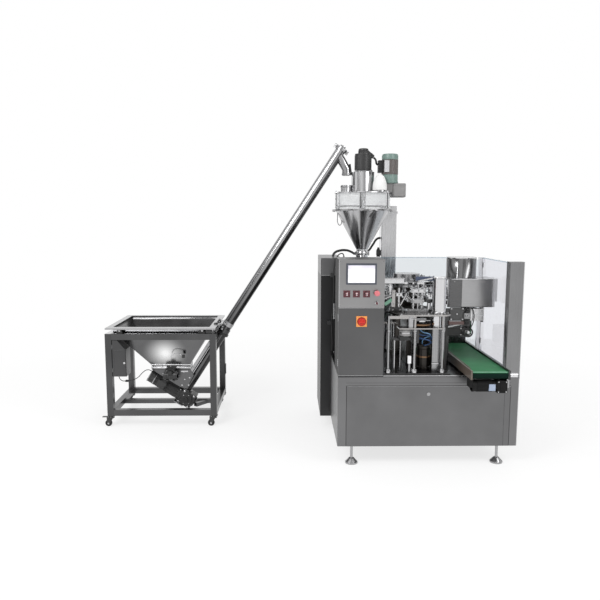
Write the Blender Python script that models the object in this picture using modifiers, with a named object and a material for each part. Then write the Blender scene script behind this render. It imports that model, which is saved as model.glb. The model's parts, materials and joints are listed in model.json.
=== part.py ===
"""Powder pouch packing machine with its screw feeder and auger filler, modelled in metres with +Z up.

Plan positions are measured from the front left corner of the machine's base: X to the right along the
line of the machines, Y away from the operator, Z up from the floor. One empty then carries the whole
line to the middle of its footprint.
"""

import math

import bmesh
import bpy
from mathutils import Matrix, Vector

# Clearances
GAP = 0.0003
BEARING_GAP = 0.0005
PANEL_GAP = 0.002


# Plane that the screw tube and the auger filler share
LINE_Y = 1.25

# Feeder frame, of square tube
FEEDER_RIGHT = -1.056
FEEDER_Y = 0.95
FEEDER_W = 1.02
FEEDER_X = FEEDER_RIGHT - FEEDER_W
FEEDER_D = 0.82
FRAME_Z = 0.105
FRAME_TOP = 0.885
RAIL = 0.058
RAIL_INSET = 0.001
CROSS_RAIL = 0.045
CROSS_RAIL_Y = 1.345
BRACE_START = (FEEDER_RIGHT - 0.244, 1.235)
BRACE_END = (FEEDER_RIGHT - 0.039, 1.500)
BRACE_W = 0.040
BRACE_H = 0.034

# Casters
WHEEL_R = 0.0315
WHEEL_W = 0.022
WHEEL_BORE = 0.0046
AXLE_R = 0.0040
CHEEK_T = 0.003
CHEEK_W = 0.030
CHEEK_GAP = 0.0010
CASTER_PLATE_T = 0.006
CASTER_TRAIL = 0.028
SWIVEL_R = 0.024
SWIVEL_H = 0.014
PEDAL_W = 0.026
PEDAL_OUT = 0.055

# Footprint of the line, from the brake pedal to the right side of the base and from the belt to the feeder
LINE_LEFT = FEEDER_X - PEDAL_OUT
LINE_FRONT = -0.20

# Feeder hopper, of sheet
HOPPER_TOP = 0.935
HOPPER_SHOULDER = 0.893
HOPPER_SHEET = 0.003
HOPPER_FLANGE = 0.062
HOPPER_LIP = 0.012
HOPPER_INSET = 0.004
MOUNT_SIZE = 0.040
MOUNT_D = 0.030
MOUNT_LEFT = 0.115
MOUNT_RIGHT = 0.105
OUTLET_X = (-1.700, -1.335)
OUTLET_HALF_Y = 0.085
OUTLET_TOP = 0.545
OUTLET_BOTTOM = 0.500

# Control box of the feeder
BOX_W = 0.128
BOX_Z = (0.479, 0.8255)
BOX_Y = (0.965, 1.115)
BOX_LID_T = 0.008
BOX_BEVEL = 0.004
BOX_SLOPE_LOW = 0.735
BOX_SLOPE_X = 0.048

# Feeder cable with its inline switch
CABLE_R = 0.0035
INLINE_SWITCH = (0.030, 0.024, 0.018)

# Screw tube: a point on its axis, its slope, its ends along the axis from that point
TUBE_X = FEEDER_RIGHT + 0.0544
TUBE_Z = 0.878
TUBE_ANGLE = math.radians(56.92)
TUBE_R = 0.048
TUBE_WALL = 0.003
TUBE_LOW = -0.705
TUBE_HIGH = 2.040
SADDLE_REACH = 0.3
TUBE_FLANGE_R = 0.064
TUBE_FLANGE_T = 0.010
SADDLE_GAP = 0.003
CLAMP_T = 0.007
CLAMP_L = 0.045
CLAMP_AT = -0.012
BOOT_HALF_Y = 0.088
BOOT_TOP = 0.497
BOOT_FOOT = (-1.430, 0.325)
BOOT_AXIS = (-1.372, 0.310)
BOOT_HEEL = (-1.300, 0.440)
BOOT_WALL = 0.012
BOOT_SKIN = 0.0036
SPOUT_R = 0.042
SPOUT_TOP = TUBE_HIGH - 0.055
SPOUT_BEND_Z = 2.405
SPOUT_END_Z = 2.346
SPOUT_RESOLUTION = 9

# Cap at the top of the tube
CAP_R = 0.060
CAP_T = 0.014
CAP_HUB_R = 0.030
CAP_HUB_T = 0.020
CAP_LUG_R = 0.009
CAP_LUG_L = 0.040

# Feeding screw
SCREW_SHAFT_R = 0.015
SCREW_FLIGHT_R = 0.0415
SCREW_FLIGHT_T = 0.003
SCREW_STEPS = 8
SCREW_TURNS = 22
SCREW_START = -0.690
SCREW_TOP_ROOM = 0.090
SCREW_PITCH = (TUBE_HIGH - SCREW_TOP_ROOM - SCREW_START) / SCREW_TURNS
FLIGHT_ROOT = 0.7

# Gearmotor at the foot of the tube
GEAR_OFFSET = 0.054
GEAR_ALONG = 0.145
GEAR_ACROSS = 0.150
GEAR_DEEP = 0.130
MOTOR_R = 0.064
MOTOR_L = 0.270
MOTOR_FLANGE_R = 0.068
MOTOR_FLANGE_T = 0.014
FAN_COVER_R = 0.067
FAN_COVER_L = 0.060
MOTOR_BOX = (0.085, 0.070, 0.045)
MOTOR_BOX_AT = 0.194

# Vibrator on the front of the hopper outlet
VIBRATOR_X = -1.510
VIBRATOR_Z = 0.452
VIBRATOR_R = 0.038
VIBRATOR_L = 0.130
VIBRATOR_END_R = 0.043
VIBRATOR_END_L = 0.026
VIBRATOR_OUT = 0.052
VIBRATOR_PLATE_T = 0.010
VIBRATOR_PLATE_W = 0.090

# Base of the machine
BASE_W = 1.415
BASE_D = 1.500
BASE_Z = 0.158
TABLE_Z = 0.728
BASE_WALL = 0.020
TABLE_T = 0.012
STRIP_X = BASE_W - 0.063
BASE_BEVEL = 0.003
PANEL_X = (0.068, STRIP_X - PANEL_GAP)
PANEL_TOP = 0.643
PANEL_T = 0.020
LATCH_X = 0.707
LATCH_Z = 0.580
LATCH_R = 0.014
LATCH_T = 0.006
LATCH_BAR = (0.040, 0.006, 0.010)

# Guard posts and windows
FRONT_POST_X = BASE_W - 0.113
FRONT_POST_D = 0.070
FRONT_POST_TOP = 1.608
MID_POST_X = (BASE_W - 0.058, BASE_W - 0.018)
MID_POST_Y = (0.928, 0.968)
WINDOW_TOP = 1.592
WINDOW_X = BASE_W - 0.027
WINDOW_T = 0.006
BACK_WINDOW_Y = BASE_D - 0.012
BACK_WINDOW_TOP = 1.564
WINDOW_LEFT = 0.108
HINGE_R = 0.007
HINGE_X = BASE_W - 0.017

# Levelling feet
FOOT_IN_Y = 0.065
FOOT_X = (0.119, BASE_W - 0.134)
FOOT_Y = (FOOT_IN_Y, BASE_D - FOOT_IN_Y)
FOOT_CORNER = 0.170
FOOT_R = 0.050
FOOT_RIM = 0.012
FOOT_NECK_R = 0.022
FOOT_NECK_Z = 0.042
FOOT_STEM_R = 0.011
FOOT_NUT_R = 0.020
FOOT_NUT_T = 0.014

# Electrical cabinet
ELECTRIC_X = (-0.090, 0.100)
ELECTRIC_Y = (0.886, BASE_D)
ELECTRIC_Z = (0.120, 1.588)
CABINET_BEVEL = 0.004

# Control cabinet
CONTROL_W = 0.350
CONTROL_D = 0.340
CONTROL_TOP = 1.626
CONTROL_WALL = 0.010
DOOR_T = 0.018
SEAM_Z = 1.256
SEAM_HALF = 0.0015
SCREEN_X = (0.055, 0.287)
SCREEN_Z = (1.436, 1.596)
SCREEN_T = 0.010
SCREEN_RIM = 0.013
SCREEN_SINK = 0.003
SELECTOR_X = (0.061, 0.135, 0.212)
SELECTOR_Z = 1.364
SELECTOR_PLATE = 0.052
SELECTOR_PLATE_T = 0.004
SELECTOR_R = 0.016
SELECTOR_KNOB_T = 0.016
SELECTOR_GRIP = (0.030, 0.010, 0.009)
STOP_X = 0.289
STOP_Z = 1.371
STOP_COLLAR_R = 0.016
STOP_COLLAR_T = 0.012
STOP_BORE_R = 0.0096
STOP_STEM_R = 0.0088
STOP_HEAD_R = 0.022
STOP_HEAD_T = 0.014
KEY_X = 0.291
KEY_Z = 1.294
KEY_R = 0.013
KEY_T = 0.010
KEY_KNOB_R = 0.0091
KEY_KNOB_T = 0.005
KEY_BLADE = (0.006, 0.022, 0.016)
MAIN_X = 0.177
MAIN_Z = 1.152
MAIN_PLATE = 0.081
MAIN_PLATE_T = 0.006
MAIN_R = 0.028
MAIN_KNOB_T = 0.020
MAIN_GRIP = (0.050, 0.012, 0.014)

# Filler column behind the machine
COLUMN_X = (0.543, 0.693)
COLUMN_Y = (BASE_D + 0.005, BASE_D + 0.155)
COLUMN_TOP = 2.070
COLUMN_BEVEL = 0.006
COLUMN_FOOT = 0.050
COLUMN_FOOT_T = 0.016
BRACKET_X = 0.395
BRACKET_Y = 1.390
BRACKET_TOP = 2.0142
BRACKET_T = 0.024

# Filler hopper on its vertical axis
FILL_X = 0.319
FILL_SHEET = 0.003
FLANGE_R = 0.288
FLANGE_TOP = 2.0285
FLANGE_T = 0.014
CONE_TOP_R = 0.253
NECK_R = 0.056
NECK_TOP = 1.654
NECK_BOTTOM = 1.560
NECK_FLANGE_R = 0.066
NECK_FLANGE_T = 0.008
NOZZLE_R = 0.034
NOZZLE_END = 1.345
RING_R = 0.260
RING_T = 0.006
RING_TOP = 2.1776
LID_R = 0.266
LID_T = 0.009
HOUSING_R = 0.108
HOUSING_TOP = 2.376
INLET_X = 0.162
INLET_R = 0.052
INLET_TOP = 2.255
SPIGOT_X = 0.463
SPIGOT_Y = 1.130
SPIGOT_R = 0.0655
SPIGOT_H = 0.014
SHAFT_HOLE_R = 0.0135
HOUSING_WALL = 0.008

# Servo motor on the drive housing
SERVO_R = 0.078
SERVO_TOP = 2.545
SERVO_FLANGE = 0.160
SERVO_FLANGE_T = 0.012
SERVO_HOOD_R = 0.047
SERVO_HOOD_X = 0.002
SERVO_HOOD_TOP = 2.596
PLUG_START = (0.030, 2.574)
PLUG_END = (0.096, 2.516)
PLUG_R = 0.018

# Agitator gearmotor at the right of the lid
GEARMOTOR_X = 0.573
GEARMOTOR_R = 0.075
GEARMOTOR_BOTTOM = 2.269
GEARMOTOR_TOP = 2.545
GEARBOX_X = (0.592, 0.7185)
GEARBOX_HALF_Y = 0.062
GEARBOX_Z = (2.143, 2.272)
GEARBOX_FOOT_X = 0.505
GEARBOX_FOOT_TOP = 2.271
TERMINAL_X = (0.462, 0.545)
TERMINAL_HALF_Y = 0.042
TERMINAL_Z = (2.372, 2.485)

# Breather sock
SOCK_R = 0.071
SOCK_TOP = 2.356
SOCK_SKIN = 0.003
SOCK_STEPS = 7

# Agitator and dosing screw
DOSING_SHAFT_R = 0.012
DOSING_FLIGHT_R = 0.0290
DOSING_PITCH = 0.060
DOSING_TURNS = 5
DOSING_START = 1.352
AGITATOR_HUB_R = 0.030
AGITATOR_HUB_BORE = 0.014
AGITATOR_BOTTOM = 1.800
AGITATOR_ARM_R = 0.009
AGITATOR_ARM_Z = 2.060
AGITATOR_REACH = 0.235
AGITATOR_LOW_Z = 1.830
AGITATOR_LOW_REACH = 0.130
SCRAPER_W = 0.026
SCRAPER_T = 0.008

# Belt conveyor
BELT_X = (0.989, 1.256)
BELT_BACK = 0.955
BELT_Z = 0.7725
BELT_OUT_R = 0.0272
BELT_T = 0.0024
ROLLER_R = 0.0245
ROLLER_FRONT_Y = -0.1705
ROLLER_BACK_Y = 0.9265
ROLLER_SHAFT_R = 0.0060
ROLLER_HOLE_R = 0.0066
RAIL_T = 0.012
BELT_CLEAR = 0.003
BELT_RAIL_Z = (0.742, 0.812)
BELT_BAR_TOP = 0.7440
BELT_BAR_Y = (0.100, 0.820)
BELT_BAR_D = 0.040
BELT_BED_Z = (0.768, 0.790)
BELT_BED_Y = (-0.125, 0.880)
KNOB_R = 0.017
KNOB_END = 1.330

# Belt motor under the front end
BELT_MOTOR_X = (0.995, 1.200)
BELT_MOTOR_Y = -0.136
BELT_MOTOR_Z = 0.684
BELT_MOTOR_R = 0.044
BELT_GEAR_X = (1.180, 1.2565)
BELT_GEAR_HALF = 0.047
BELT_HANGER_T = 0.008
BELT_HANGER_Z = 0.7415

# Turret
STATION_R = 0.5155
STATION_ANGLE = math.radians(45)
STATIONS = 8
BED_X = (0.3525, 0.875)
BED_Y = (0.012, 1.150)
BED_T = 0.012
STAND_R = 0.130
STAND_TOP = 1.3517
STAND_FLANGE_R = 0.200
STAND_FLANGE_T = 0.030
NECK_POST_R = 0.074
CROWN_R = 0.120
CROWN_Z = (1.4043, 1.450)
FRONT_POST_XS = (0.393, 0.599, 0.818)
FRONT_POST_Y = 0.045
FRONT_POST_R = 0.011
COLLAR_R = 0.022
COLLAR_H = 0.032
UPPER_PLATE = ((0.472, 0.020), (0.842, 0.020), (0.875, 0.060), (0.875, 0.260), (0.400, 0.260))
UPPER_PLATE_Z = (1.187, 1.199)
LOWER_PLATE_Z = (1.086, 1.095)
LOWER_PLATE_X = (0.472, 0.815)
LOWER_PLATE_Y = (0.020, 0.130)
TIE_BAR = (0.016, 0.022)
DRUM_X = 0.800
DRUM_Y = 0.130
DRUM_R = 0.054
DRUM_TOP = 1.480
ANVIL_Z = (1.205, 1.243)
ANVIL_FACE_R = 0.5105
ANVIL_T = 0.026
JAW_W = 0.130
ANVIL_ARM_W = 0.040
ANVIL_ARM_H = 0.030
ANVIL_ARM_START = 0.104
RIGHT_RING_Z = (1.352, 1.372)
LEFT_RING_Z = (1.384, 1.404)
RIGHT_RING_R = 0.318
LEFT_RING_R = 0.360
RING_BORE_R = 0.0755
SPACER_R = 0.100
LEFT_DROP_R = 0.325
RIGHT_DROP_R = 0.285
DROP_W = 0.026
DROP_D = 0.022
FINGER_Z = (1.262, 1.290)
FINGER_T = 0.012
FINGER_TIP_R = 0.540
POUCH_HALF = 0.075

# Sealing station
STATION_POST_X = (0.900, 0.945)
STATION_POST_Y = (0.350, 0.395)
STATION_ARM_X = 1.228
STATION_ARM_Z = (1.100, 1.200)
RISER_X = 1.204
JAW_HOUSING_R = 0.622
JAW_HOUSING_T = 0.044
JAW_HOUSING_W = 0.150
JAW_HOUSING_Z = (1.195, 1.254)
JAW_OPEN_R = 0.5575
JAW_T = 0.026
JAW_ROD_R = 0.0070
JAW_ROD_BORE = 0.0078
JAW_ROD_OFFSET = 0.045
JAW_ROD_END = 0.672
PEDESTAL_X = (1.070, 1.190)
PEDESTAL_Y = 0.450
WHEEL_BLOCK_X = (1.053, 1.133)
WHEEL_BLOCK_Z = 0.965
WHEEL_X = 1.093
WHEEL_Z = 1.010
HANDWHEEL_R = 0.036
HANDWHEEL_RIM_R = 0.0055
HANDWHEEL_OUT = 0.040
HANDWHEEL_HUB_R = 0.010
HANDWHEEL_SHAFT_R = 0.006
HANDWHEEL_BORE = 0.0066

# Hood over the sealing station, with its exhaust duct
HOOD_X = (0.919, 1.320)
HOOD_Y = (0.342, 0.600)
HOOD_Z = (1.215, 1.447)
HOOD_SHEET = 0.003
HOOD_CORNER = 0.030
HOOD_SWEEP_R = 0.580
HOOD_SWEEP_TOP = 1.4385
HOOD_SIDE_X = 1.374
HOOD_SIDE_Y = (0.470, 0.600)
HOOD_SIDE_Z = (1.245, 1.440)
DUCT_X = 1.062
DUCT_Y = 0.470
DUCT_R = 0.122
DUCT_TOP = 1.620

# Cables, by the points that they run through
FILLER_CABLE_R = 0.011
FILLER_CABLE = (
    (0.030, 1.050, 1.5910),
    (0.030, 1.050, 1.602),
    (0.045, 1.060, 1.627),
    (0.090, 1.090, 1.645),
    (0.150, 1.130, 1.648),
    (0.215, 1.220, 1.628),
    (0.262, 1.315, 1.604),
    (0.330, 1.375, 1.598),
    (0.400, 1.430, 1.625),
    (0.460, 1.500, 1.690),
    (0.505, 1.550, 1.742),
    (0.530, 1.560, 1.752),
    (0.5405, 1.560, 1.752),
)
MOTOR_CABLE_R = 0.009
MOTOR_CABLE = (
    (0.4175, 1.250, 2.513),
    (0.433, 1.250, 2.499),
    (0.441, 1.250, 2.481),
    (0.444, 1.250, 2.462),
    (0.451, 1.250, 2.451),
    (0.4598, 1.250, 2.448),
)
FEEDER_CABLE = (
    (-1.985, 1.050, 0.4786),
    (-1.982, 1.050, 0.445),
    (-1.955, 1.060, 0.414),
    (-1.936, 1.065, 0.411),
    (-1.916, 1.070, 0.411),
    (-1.896, 1.075, 0.411),
    (-1.877, 1.080, 0.413),
    (-1.820, 1.095, 0.437),
    (-1.770, 1.105, 0.487),
    (-1.735, 1.110, 0.507),
    (-1.700, 1.120, 0.498),
    (-1.672, 1.145, 0.455),
    (-1.655, 1.163, 0.4125),
)

# Colours: red, green, blue, roughness, metallic
BRUSHED = (0.40, 0.40, 0.40, 0.35, 1.0)
DARK_STEEL = (0.16, 0.16, 0.165, 0.40, 1.0)
POLISHED = (0.62, 0.62, 0.62, 0.15, 1.0)
CHROME = (0.75, 0.75, 0.76, 0.08, 1.0)
BLACK_PLASTIC = (0.02, 0.02, 0.02, 0.45, 0.0)
RUBBER = (0.012, 0.012, 0.012, 0.75, 0.0)
CLEAR = (0.85, 0.90, 0.93, 0.05, 0.0)
GREEN_PAINT = (0.10, 0.17, 0.15, 0.45, 0.0)
BELT_GREEN = (0.03, 0.22, 0.09, 0.35, 0.0)
RED = (0.55, 0.02, 0.015, 0.35, 0.0)
DARK_RED = (0.25, 0.02, 0.02, 0.40, 0.0)
WHITE_CLOTH = (0.80, 0.80, 0.78, 0.90, 0.0)
ALUMINIUM = (0.55, 0.55, 0.56, 0.40, 1.0)

# Segments of round shapes
FINE = 44
ROUND = 28
MEDIUM = 20
SMALL = 12
TINY = 8

TUBE_AXIS = Vector((math.cos(TUBE_ANGLE), 0.0, math.sin(TUBE_ANGLE)))
TUBE_SIDE = Vector((math.sin(TUBE_ANGLE), 0.0, -math.cos(TUBE_ANGLE)))
TURRET_X = FILL_X + STATION_R * math.cos(STATION_ANGLE)
TURRET_Y = LINE_Y - STATION_R * math.sin(STATION_ANGLE)
SEAL_OUT = Vector((math.cos(STATION_ANGLE), -math.sin(STATION_ANGLE), 0.0))
UP = Vector((0.0, 0.0, 1.0))
FRONT = Vector((0.0, -1.0, 0.0))


def clear_scene():
    for obj in list(bpy.data.objects):
        bpy.data.objects.remove(obj)


def new_collection(name):
    made = bpy.data.collections.new(name)
    bpy.context.scene.collection.children.link(made)
    return made


clear_scene()
PARTS = new_collection("powder_pouch_packing_machine")
CUTTERS = new_collection("cutters")
CUTTERS.hide_render = True
LINE = bpy.data.objects.new("line_origin", None)
PARTS.objects.link(LINE)
LINE.location = (-(LINE_LEFT + BASE_W) / 2, -(LINE_FRONT + FEEDER_Y + FEEDER_D) / 2, 0.0)


def add_object(name, mesh, origin, parent=None):
    obj = bpy.data.objects.new(name, mesh)
    PARTS.objects.link(obj)
    obj.location = origin
    obj.parent = parent or LINE
    return obj


def mesh_from(name, bm):
    mesh = bpy.data.meshes.new(name)
    bmesh.ops.recalc_face_normals(bm, faces=bm.faces)
    bm.to_mesh(mesh)
    bm.free()
    return mesh


def box(name, x, y, z, turn=0.0):
    """A block between two X, two Y and two Z values, turned about its own upright axis."""
    bm = bmesh.new()
    bmesh.ops.create_cube(bm, size=1.0)
    bmesh.ops.scale(bm, vec=(x[1] - x[0], y[1] - y[0], z[1] - z[0]), verts=bm.verts)
    centre = ((x[0] + x[1]) / 2, (y[0] + y[1]) / 2, (z[0] + z[1]) / 2)
    obj = add_object(name, mesh_from(name, bm), centre)
    obj.rotation_euler.z = turn
    return obj


def block(name, centre, size, axes=None):
    """A block of a size about a centre, its own X, Y and Z lying along the three given axes."""
    bm = bmesh.new()
    bmesh.ops.create_cube(bm, size=1.0)
    bmesh.ops.scale(bm, vec=size, verts=bm.verts)
    if axes:
        turn = Matrix((axes[0], axes[1], axes[2])).transposed().to_4x4()
        bmesh.ops.transform(bm, matrix=turn, verts=bm.verts)
    return add_object(name, mesh_from(name, bm), centre)


def rod(name, start, end, radius, sides=MEDIUM, end_radius=None):
    """A round bar or cone from one point to another."""
    first = Vector(start)
    last = Vector(end)
    along = last - first
    bm = bmesh.new()
    tip = radius if end_radius is None else end_radius
    bmesh.ops.create_cone(bm, cap_ends=True, segments=sides, radius1=radius, radius2=tip,
                          depth=along.length)
    turn = along.to_track_quat("Z", "Y").to_matrix().to_4x4()
    bmesh.ops.transform(bm, matrix=turn, verts=bm.verts)
    return smooth(add_object(name, mesh_from(name, bm), (first + last) / 2))


def smooth(obj, degrees=35.0):
    obj.data.shade_smooth()
    obj.data.set_sharp_from_angle(angle=math.radians(degrees))
    return obj


def turned(name, origin, profile, steps=ROUND, closed=False):
    """A profile of (radius, height) points spun about the upright axis; its outer side runs downwards."""
    mesh = bpy.data.meshes.new(name)
    bm = bmesh.new()
    points = [bm.verts.new((radius, 0.0, height)) for radius, height in profile]
    for first, second in zip(points, points[1:]):
        bm.edges.new((first, second))
    if closed:
        bm.edges.new((points[-1], points[0]))
    bm.to_mesh(mesh)
    bm.free()
    obj = add_object(name, mesh, origin)
    spin = obj.modifiers.new("turn", "SCREW")
    spin.steps = steps
    spin.render_steps = steps
    spin.use_merge_vertices = True
    spin.merge_threshold = 0.0001
    spin.use_smooth_shade = True
    return obj


def outline(name, points, z, origin=(0.0, 0.0, 0.0)):
    """A flat outline of plan points, as thick as the two heights."""
    curve = bpy.data.curves.new(name, "CURVE")
    curve.dimensions = "2D"
    curve.fill_mode = "BOTH"
    curve.extrude = (z[1] - z[0]) / 2
    spline = curve.splines.new("POLY")
    spline.points.add(len(points) - 1)
    for point, (x, y) in zip(spline.points, points):
        point.co = (x, y, 0.0, 1.0)
    spline.use_cyclic_u = True
    shape = add_object(name + "_outline", curve, (origin[0], origin[1], origin[2] + (z[0] + z[1]) / 2))
    return solid_of(shape, name)


def wire(name, points, radius, resolution=2):
    """A round cable through the points."""
    curve = bpy.data.curves.new(name, "CURVE")
    curve.dimensions = "3D"
    curve.bevel_depth = radius
    curve.bevel_resolution = resolution
    curve.use_fill_caps = True
    spline = curve.splines.new("POLY")
    spline.points.add(len(points) - 1)
    for point, place in zip(spline.points, points):
        point.co = (*place, 1.0)
    return solid_of(add_object(name + "_path", curve, (0.0, 0.0, 0.0)), name)


def solid_of(shape, name):
    """The curve's evaluated shape as a mesh object with welded caps."""
    bpy.context.view_layer.update()
    graph = bpy.context.evaluated_depsgraph_get()
    mesh = bpy.data.meshes.new_from_object(shape.evaluated_get(graph))
    bm = bmesh.new()
    bm.from_mesh(mesh)
    bmesh.ops.remove_doubles(bm, verts=bm.verts, dist=0.00001)
    bmesh.ops.recalc_face_normals(bm, faces=bm.faces)
    bm.to_mesh(mesh)
    bm.free()
    obj = add_object(name, mesh, shape.location)
    bpy.data.objects.remove(shape)
    return smooth(obj)


def flowing(points, steps):
    """Points along a smooth line through the given ones."""
    places = [Vector(point) for point in points]
    places = [places[0] * 2 - places[1]] + places + [places[-1] * 2 - places[-2]]
    found = []
    for a, b, c, d in zip(places, places[1:], places[2:], places[3:]):
        for step in range(steps):
            t = step / steps
            square = (a * 2 - b * 5 + c * 4 - d) * t * t
            line = b * 2 + (c - a) * t + square + (b * 3 - a - c * 3 + d) * t ** 3
            found.append(line / 2)
    found.append(places[-2])
    return found


def helper(obj):
    for holder in obj.users_collection:
        holder.objects.unlink(obj)
    CUTTERS.objects.link(obj)
    obj.hide_render = True
    obj.display_type = "WIRE"
    return obj


def join(target, *others):
    for other in others:
        union = target.modifiers.new("join", "BOOLEAN")
        union.operation = "UNION"
        union.object = helper(other)
    return target


def cut(target, *others):
    for other in others:
        difference = target.modifiers.new("cut", "BOOLEAN")
        difference.operation = "DIFFERENCE"
        difference.object = helper(other)
    return target


def soften(obj, width, segments=1):
    bevel = obj.modifiers.new("soften", "BEVEL")
    bevel.width = width
    bevel.segments = segments
    bevel.limit_method = "ANGLE"
    return obj


def pivot(obj, point):
    """Moves the object's origin to a point of the line without moving its shape."""
    shift = obj.location - Vector(point)
    obj.data.transform(Matrix.Translation(shift))
    obj.location = point
    return obj


def finish(obj, look):
    red, green, blue, roughness, metallic = look
    material = bpy.data.materials.new(obj.name)
    material.use_nodes = True
    shader = material.node_tree.nodes["Principled BSDF"]
    shader.inputs["Base Color"].default_value = (red, green, blue, 1.0)
    shader.inputs["Roughness"].default_value = roughness
    shader.inputs["Metallic"].default_value = metallic
    obj.data.materials.clear()
    obj.data.materials.append(material)
    return obj


def along_tube(distance, side=0.0):
    """A point of the tube's plane, at a distance up its axis and to the lower side of it."""
    return Vector((TUBE_X, LINE_Y, TUBE_Z)) + TUBE_AXIS * distance + TUBE_SIDE * side


FEEDER_BACK = FEEDER_Y + FEEDER_D
HINGE_Y = MID_POST_Y[0] - HINGE_R - GAP
NOTCH_X = ELECTRIC_X[1] + GAP
NOTCH_Y = ELECTRIC_Y[0] - GAP
LEFT_RAIL = (FEEDER_X, FEEDER_X + RAIL)
RIGHT_RAIL = (FEEDER_RIGHT - RAIL, FEEDER_RIGHT)
NEAR_RAIL = (FEEDER_Y, FEEDER_Y + RAIL)
FAR_RAIL = (FEEDER_BACK - RAIL, FEEDER_BACK)


def inset(span, amount):
    return (span[0] + amount, span[1] - amount)


def widened(centre, half):
    return (centre - half, centre + half)


def middle(span):
    return (span[0] + span[1]) / 2


def side_outline(name, points, half, y):
    """An outline of (X, Z) points, as thick as twice a half width, across a plane of the line."""
    obj = outline(name, points, (-half, half))
    obj.rotation_euler.x = math.pi / 2
    obj.location.y = y
    return obj


def rounded_front(x, y, radius, steps=4):
    """Plan points of a rectangle whose two front corners are round."""
    left = [
        (x[0] + radius * (1 - math.cos(a)), y[0] + radius * (1 - math.sin(a)))
        for a in (math.pi / 2 * step / steps for step in range(steps + 1))
    ]
    right = [
        (x[1] - radius * (1 - math.sin(a)), y[0] + radius * (1 - math.cos(a)))
        for a in (math.pi / 2 * step / steps for step in range(steps + 1))
    ]
    return left + right + [(x[1], y[1]), (x[0], y[1])]


# Feeder frame with its rear casters


def caster_shapes(x, y, top, rear):
    """Cheeks, bridge and axle of a caster whose wheel is centred at x and y."""
    half = WHEEL_W / 2 + CHEEK_GAP + CHEEK_T
    reach = widened(x, CHEEK_W / 2)
    bridge_x = (reach[0], reach[1] + (0.0 if rear else CASTER_TRAIL))
    bridge = box("bridge", bridge_x, widened(y, half), (top - CASTER_PLATE_T, top))
    cheeks = [
        box("cheek", reach, sorted((y + side * half, y + side * (half - CHEEK_T))),
            (WHEEL_R - AXLE_R * 2, top - GAP))
        for side in (-1, 1)
    ]
    axle = rod("axle", (x, y - half - CHEEK_T, WHEEL_R), (x, y + half + CHEEK_T, WHEEL_R), AXLE_R, SMALL)
    return [bridge, *cheeks, axle]


def make_feeder_frame():
    frame = box("feeder_frame", LEFT_RAIL, NEAR_RAIL, (FRAME_Z, FRAME_TOP))
    for x, y in ((RIGHT_RAIL, NEAR_RAIL), (LEFT_RAIL, FAR_RAIL), (RIGHT_RAIL, FAR_RAIL)):
        join(frame, box("post", x, y, (FRAME_Z, FRAME_TOP)))
    long_x = (middle(LEFT_RAIL), middle(RIGHT_RAIL))
    long_y = (middle(NEAR_RAIL), middle(FAR_RAIL))
    for z in ((FRAME_Z + RAIL_INSET, FRAME_Z + RAIL), (FRAME_TOP - RAIL, FRAME_TOP - RAIL_INSET)):
        for y in (NEAR_RAIL, FAR_RAIL):
            join(frame, box("long_rail", long_x, inset(y, RAIL_INSET), z))
        for x in (LEFT_RAIL, RIGHT_RAIL):
            join(frame, box("short_rail", inset(x, RAIL_INSET * 2), long_y, inset(z, RAIL_INSET)))
    low = (FRAME_Z + RAIL_INSET * 3, FRAME_Z + CROSS_RAIL)
    join(frame, box("cross_rail", long_x, (CROSS_RAIL_Y, CROSS_RAIL_Y + CROSS_RAIL), low))
    first = Vector(BRACE_START)
    last = Vector(BRACE_END)
    run = (last - first).normalized()
    ahead = Vector((run.x, run.y, 0.0))
    centre = Vector(((first.x + last.x) / 2, (first.y + last.y) / 2, low[0] + RAIL_INSET + BRACE_H / 2))
    size = ((last - first).length, BRACE_W, BRACE_H)
    join(frame, block("brace", centre, size, (ahead, UP.cross(ahead), UP)))
    clamp_ends = (along_tube(CLAMP_AT - CLAMP_L / 2), along_tube(CLAMP_AT + CLAMP_L / 2))
    saddle_ends = (along_tube(-SADDLE_REACH), along_tube(SADDLE_REACH))
    cut(frame, rod("saddle", *saddle_ends, TUBE_R + SADDLE_GAP, ROUND))
    band = rod("band", *clamp_ends, TUBE_R + CLAMP_T, ROUND)
    join(frame, band)
    cut(frame, rod("band_bore", *saddle_ends, TUBE_R + BEARING_GAP, ROUND))
    for x in (LEFT_RAIL, RIGHT_RAIL):
        wheel_x = middle(x) - CASTER_TRAIL
        shapes = caster_shapes(wheel_x, middle(FAR_RAIL), FRAME_Z + RAIL_INSET, True)
        foot = box("caster_foot", inset(x, RAIL_INSET * 3), inset(FAR_RAIL, RAIL_INSET * 3),
                   (FRAME_Z - CASTER_PLATE_T, FRAME_Z + RAIL_INSET * 2))
        join(frame, foot, *shapes)
    return finish(frame, BRUSHED)


def make_front_caster(name, rail, pedal):
    x = middle(rail)
    y = middle(NEAR_RAIL)
    top = FRAME_Z - GAP
    fork = rod(name, (x, y, top - SWIVEL_H), (x, y, top), SWIVEL_R)
    pivot(fork, (x, y, top))
    shapes = caster_shapes(x - CASTER_TRAIL, y, top - SWIVEL_H + CASTER_PLATE_T / 3, False)
    join(fork, *shapes)
    if pedal:
        z = (top - SWIVEL_H - CASTER_PLATE_T / 2, top - SWIVEL_H + CASTER_PLATE_T / 2)
        join(fork, box("pedal", (LINE_LEFT, x - CASTER_TRAIL), widened(y, PEDAL_W / 2), z))
    return finish(fork, BLACK_PLASTIC)


def make_caster_wheel(name, x, y):
    wheel = rod(name, (x, y - WHEEL_W / 2, WHEEL_R), (x, y + WHEEL_W / 2, WHEEL_R), WHEEL_R, ROUND)
    soften(wheel, CHEEK_T)
    cut(wheel, rod("wheel_bore", (x, y - WHEEL_W, WHEEL_R), (x, y + WHEEL_W, WHEEL_R), WHEEL_BORE, SMALL))
    return finish(wheel, RUBBER)


# Feeder hopper and what hangs on it


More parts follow.
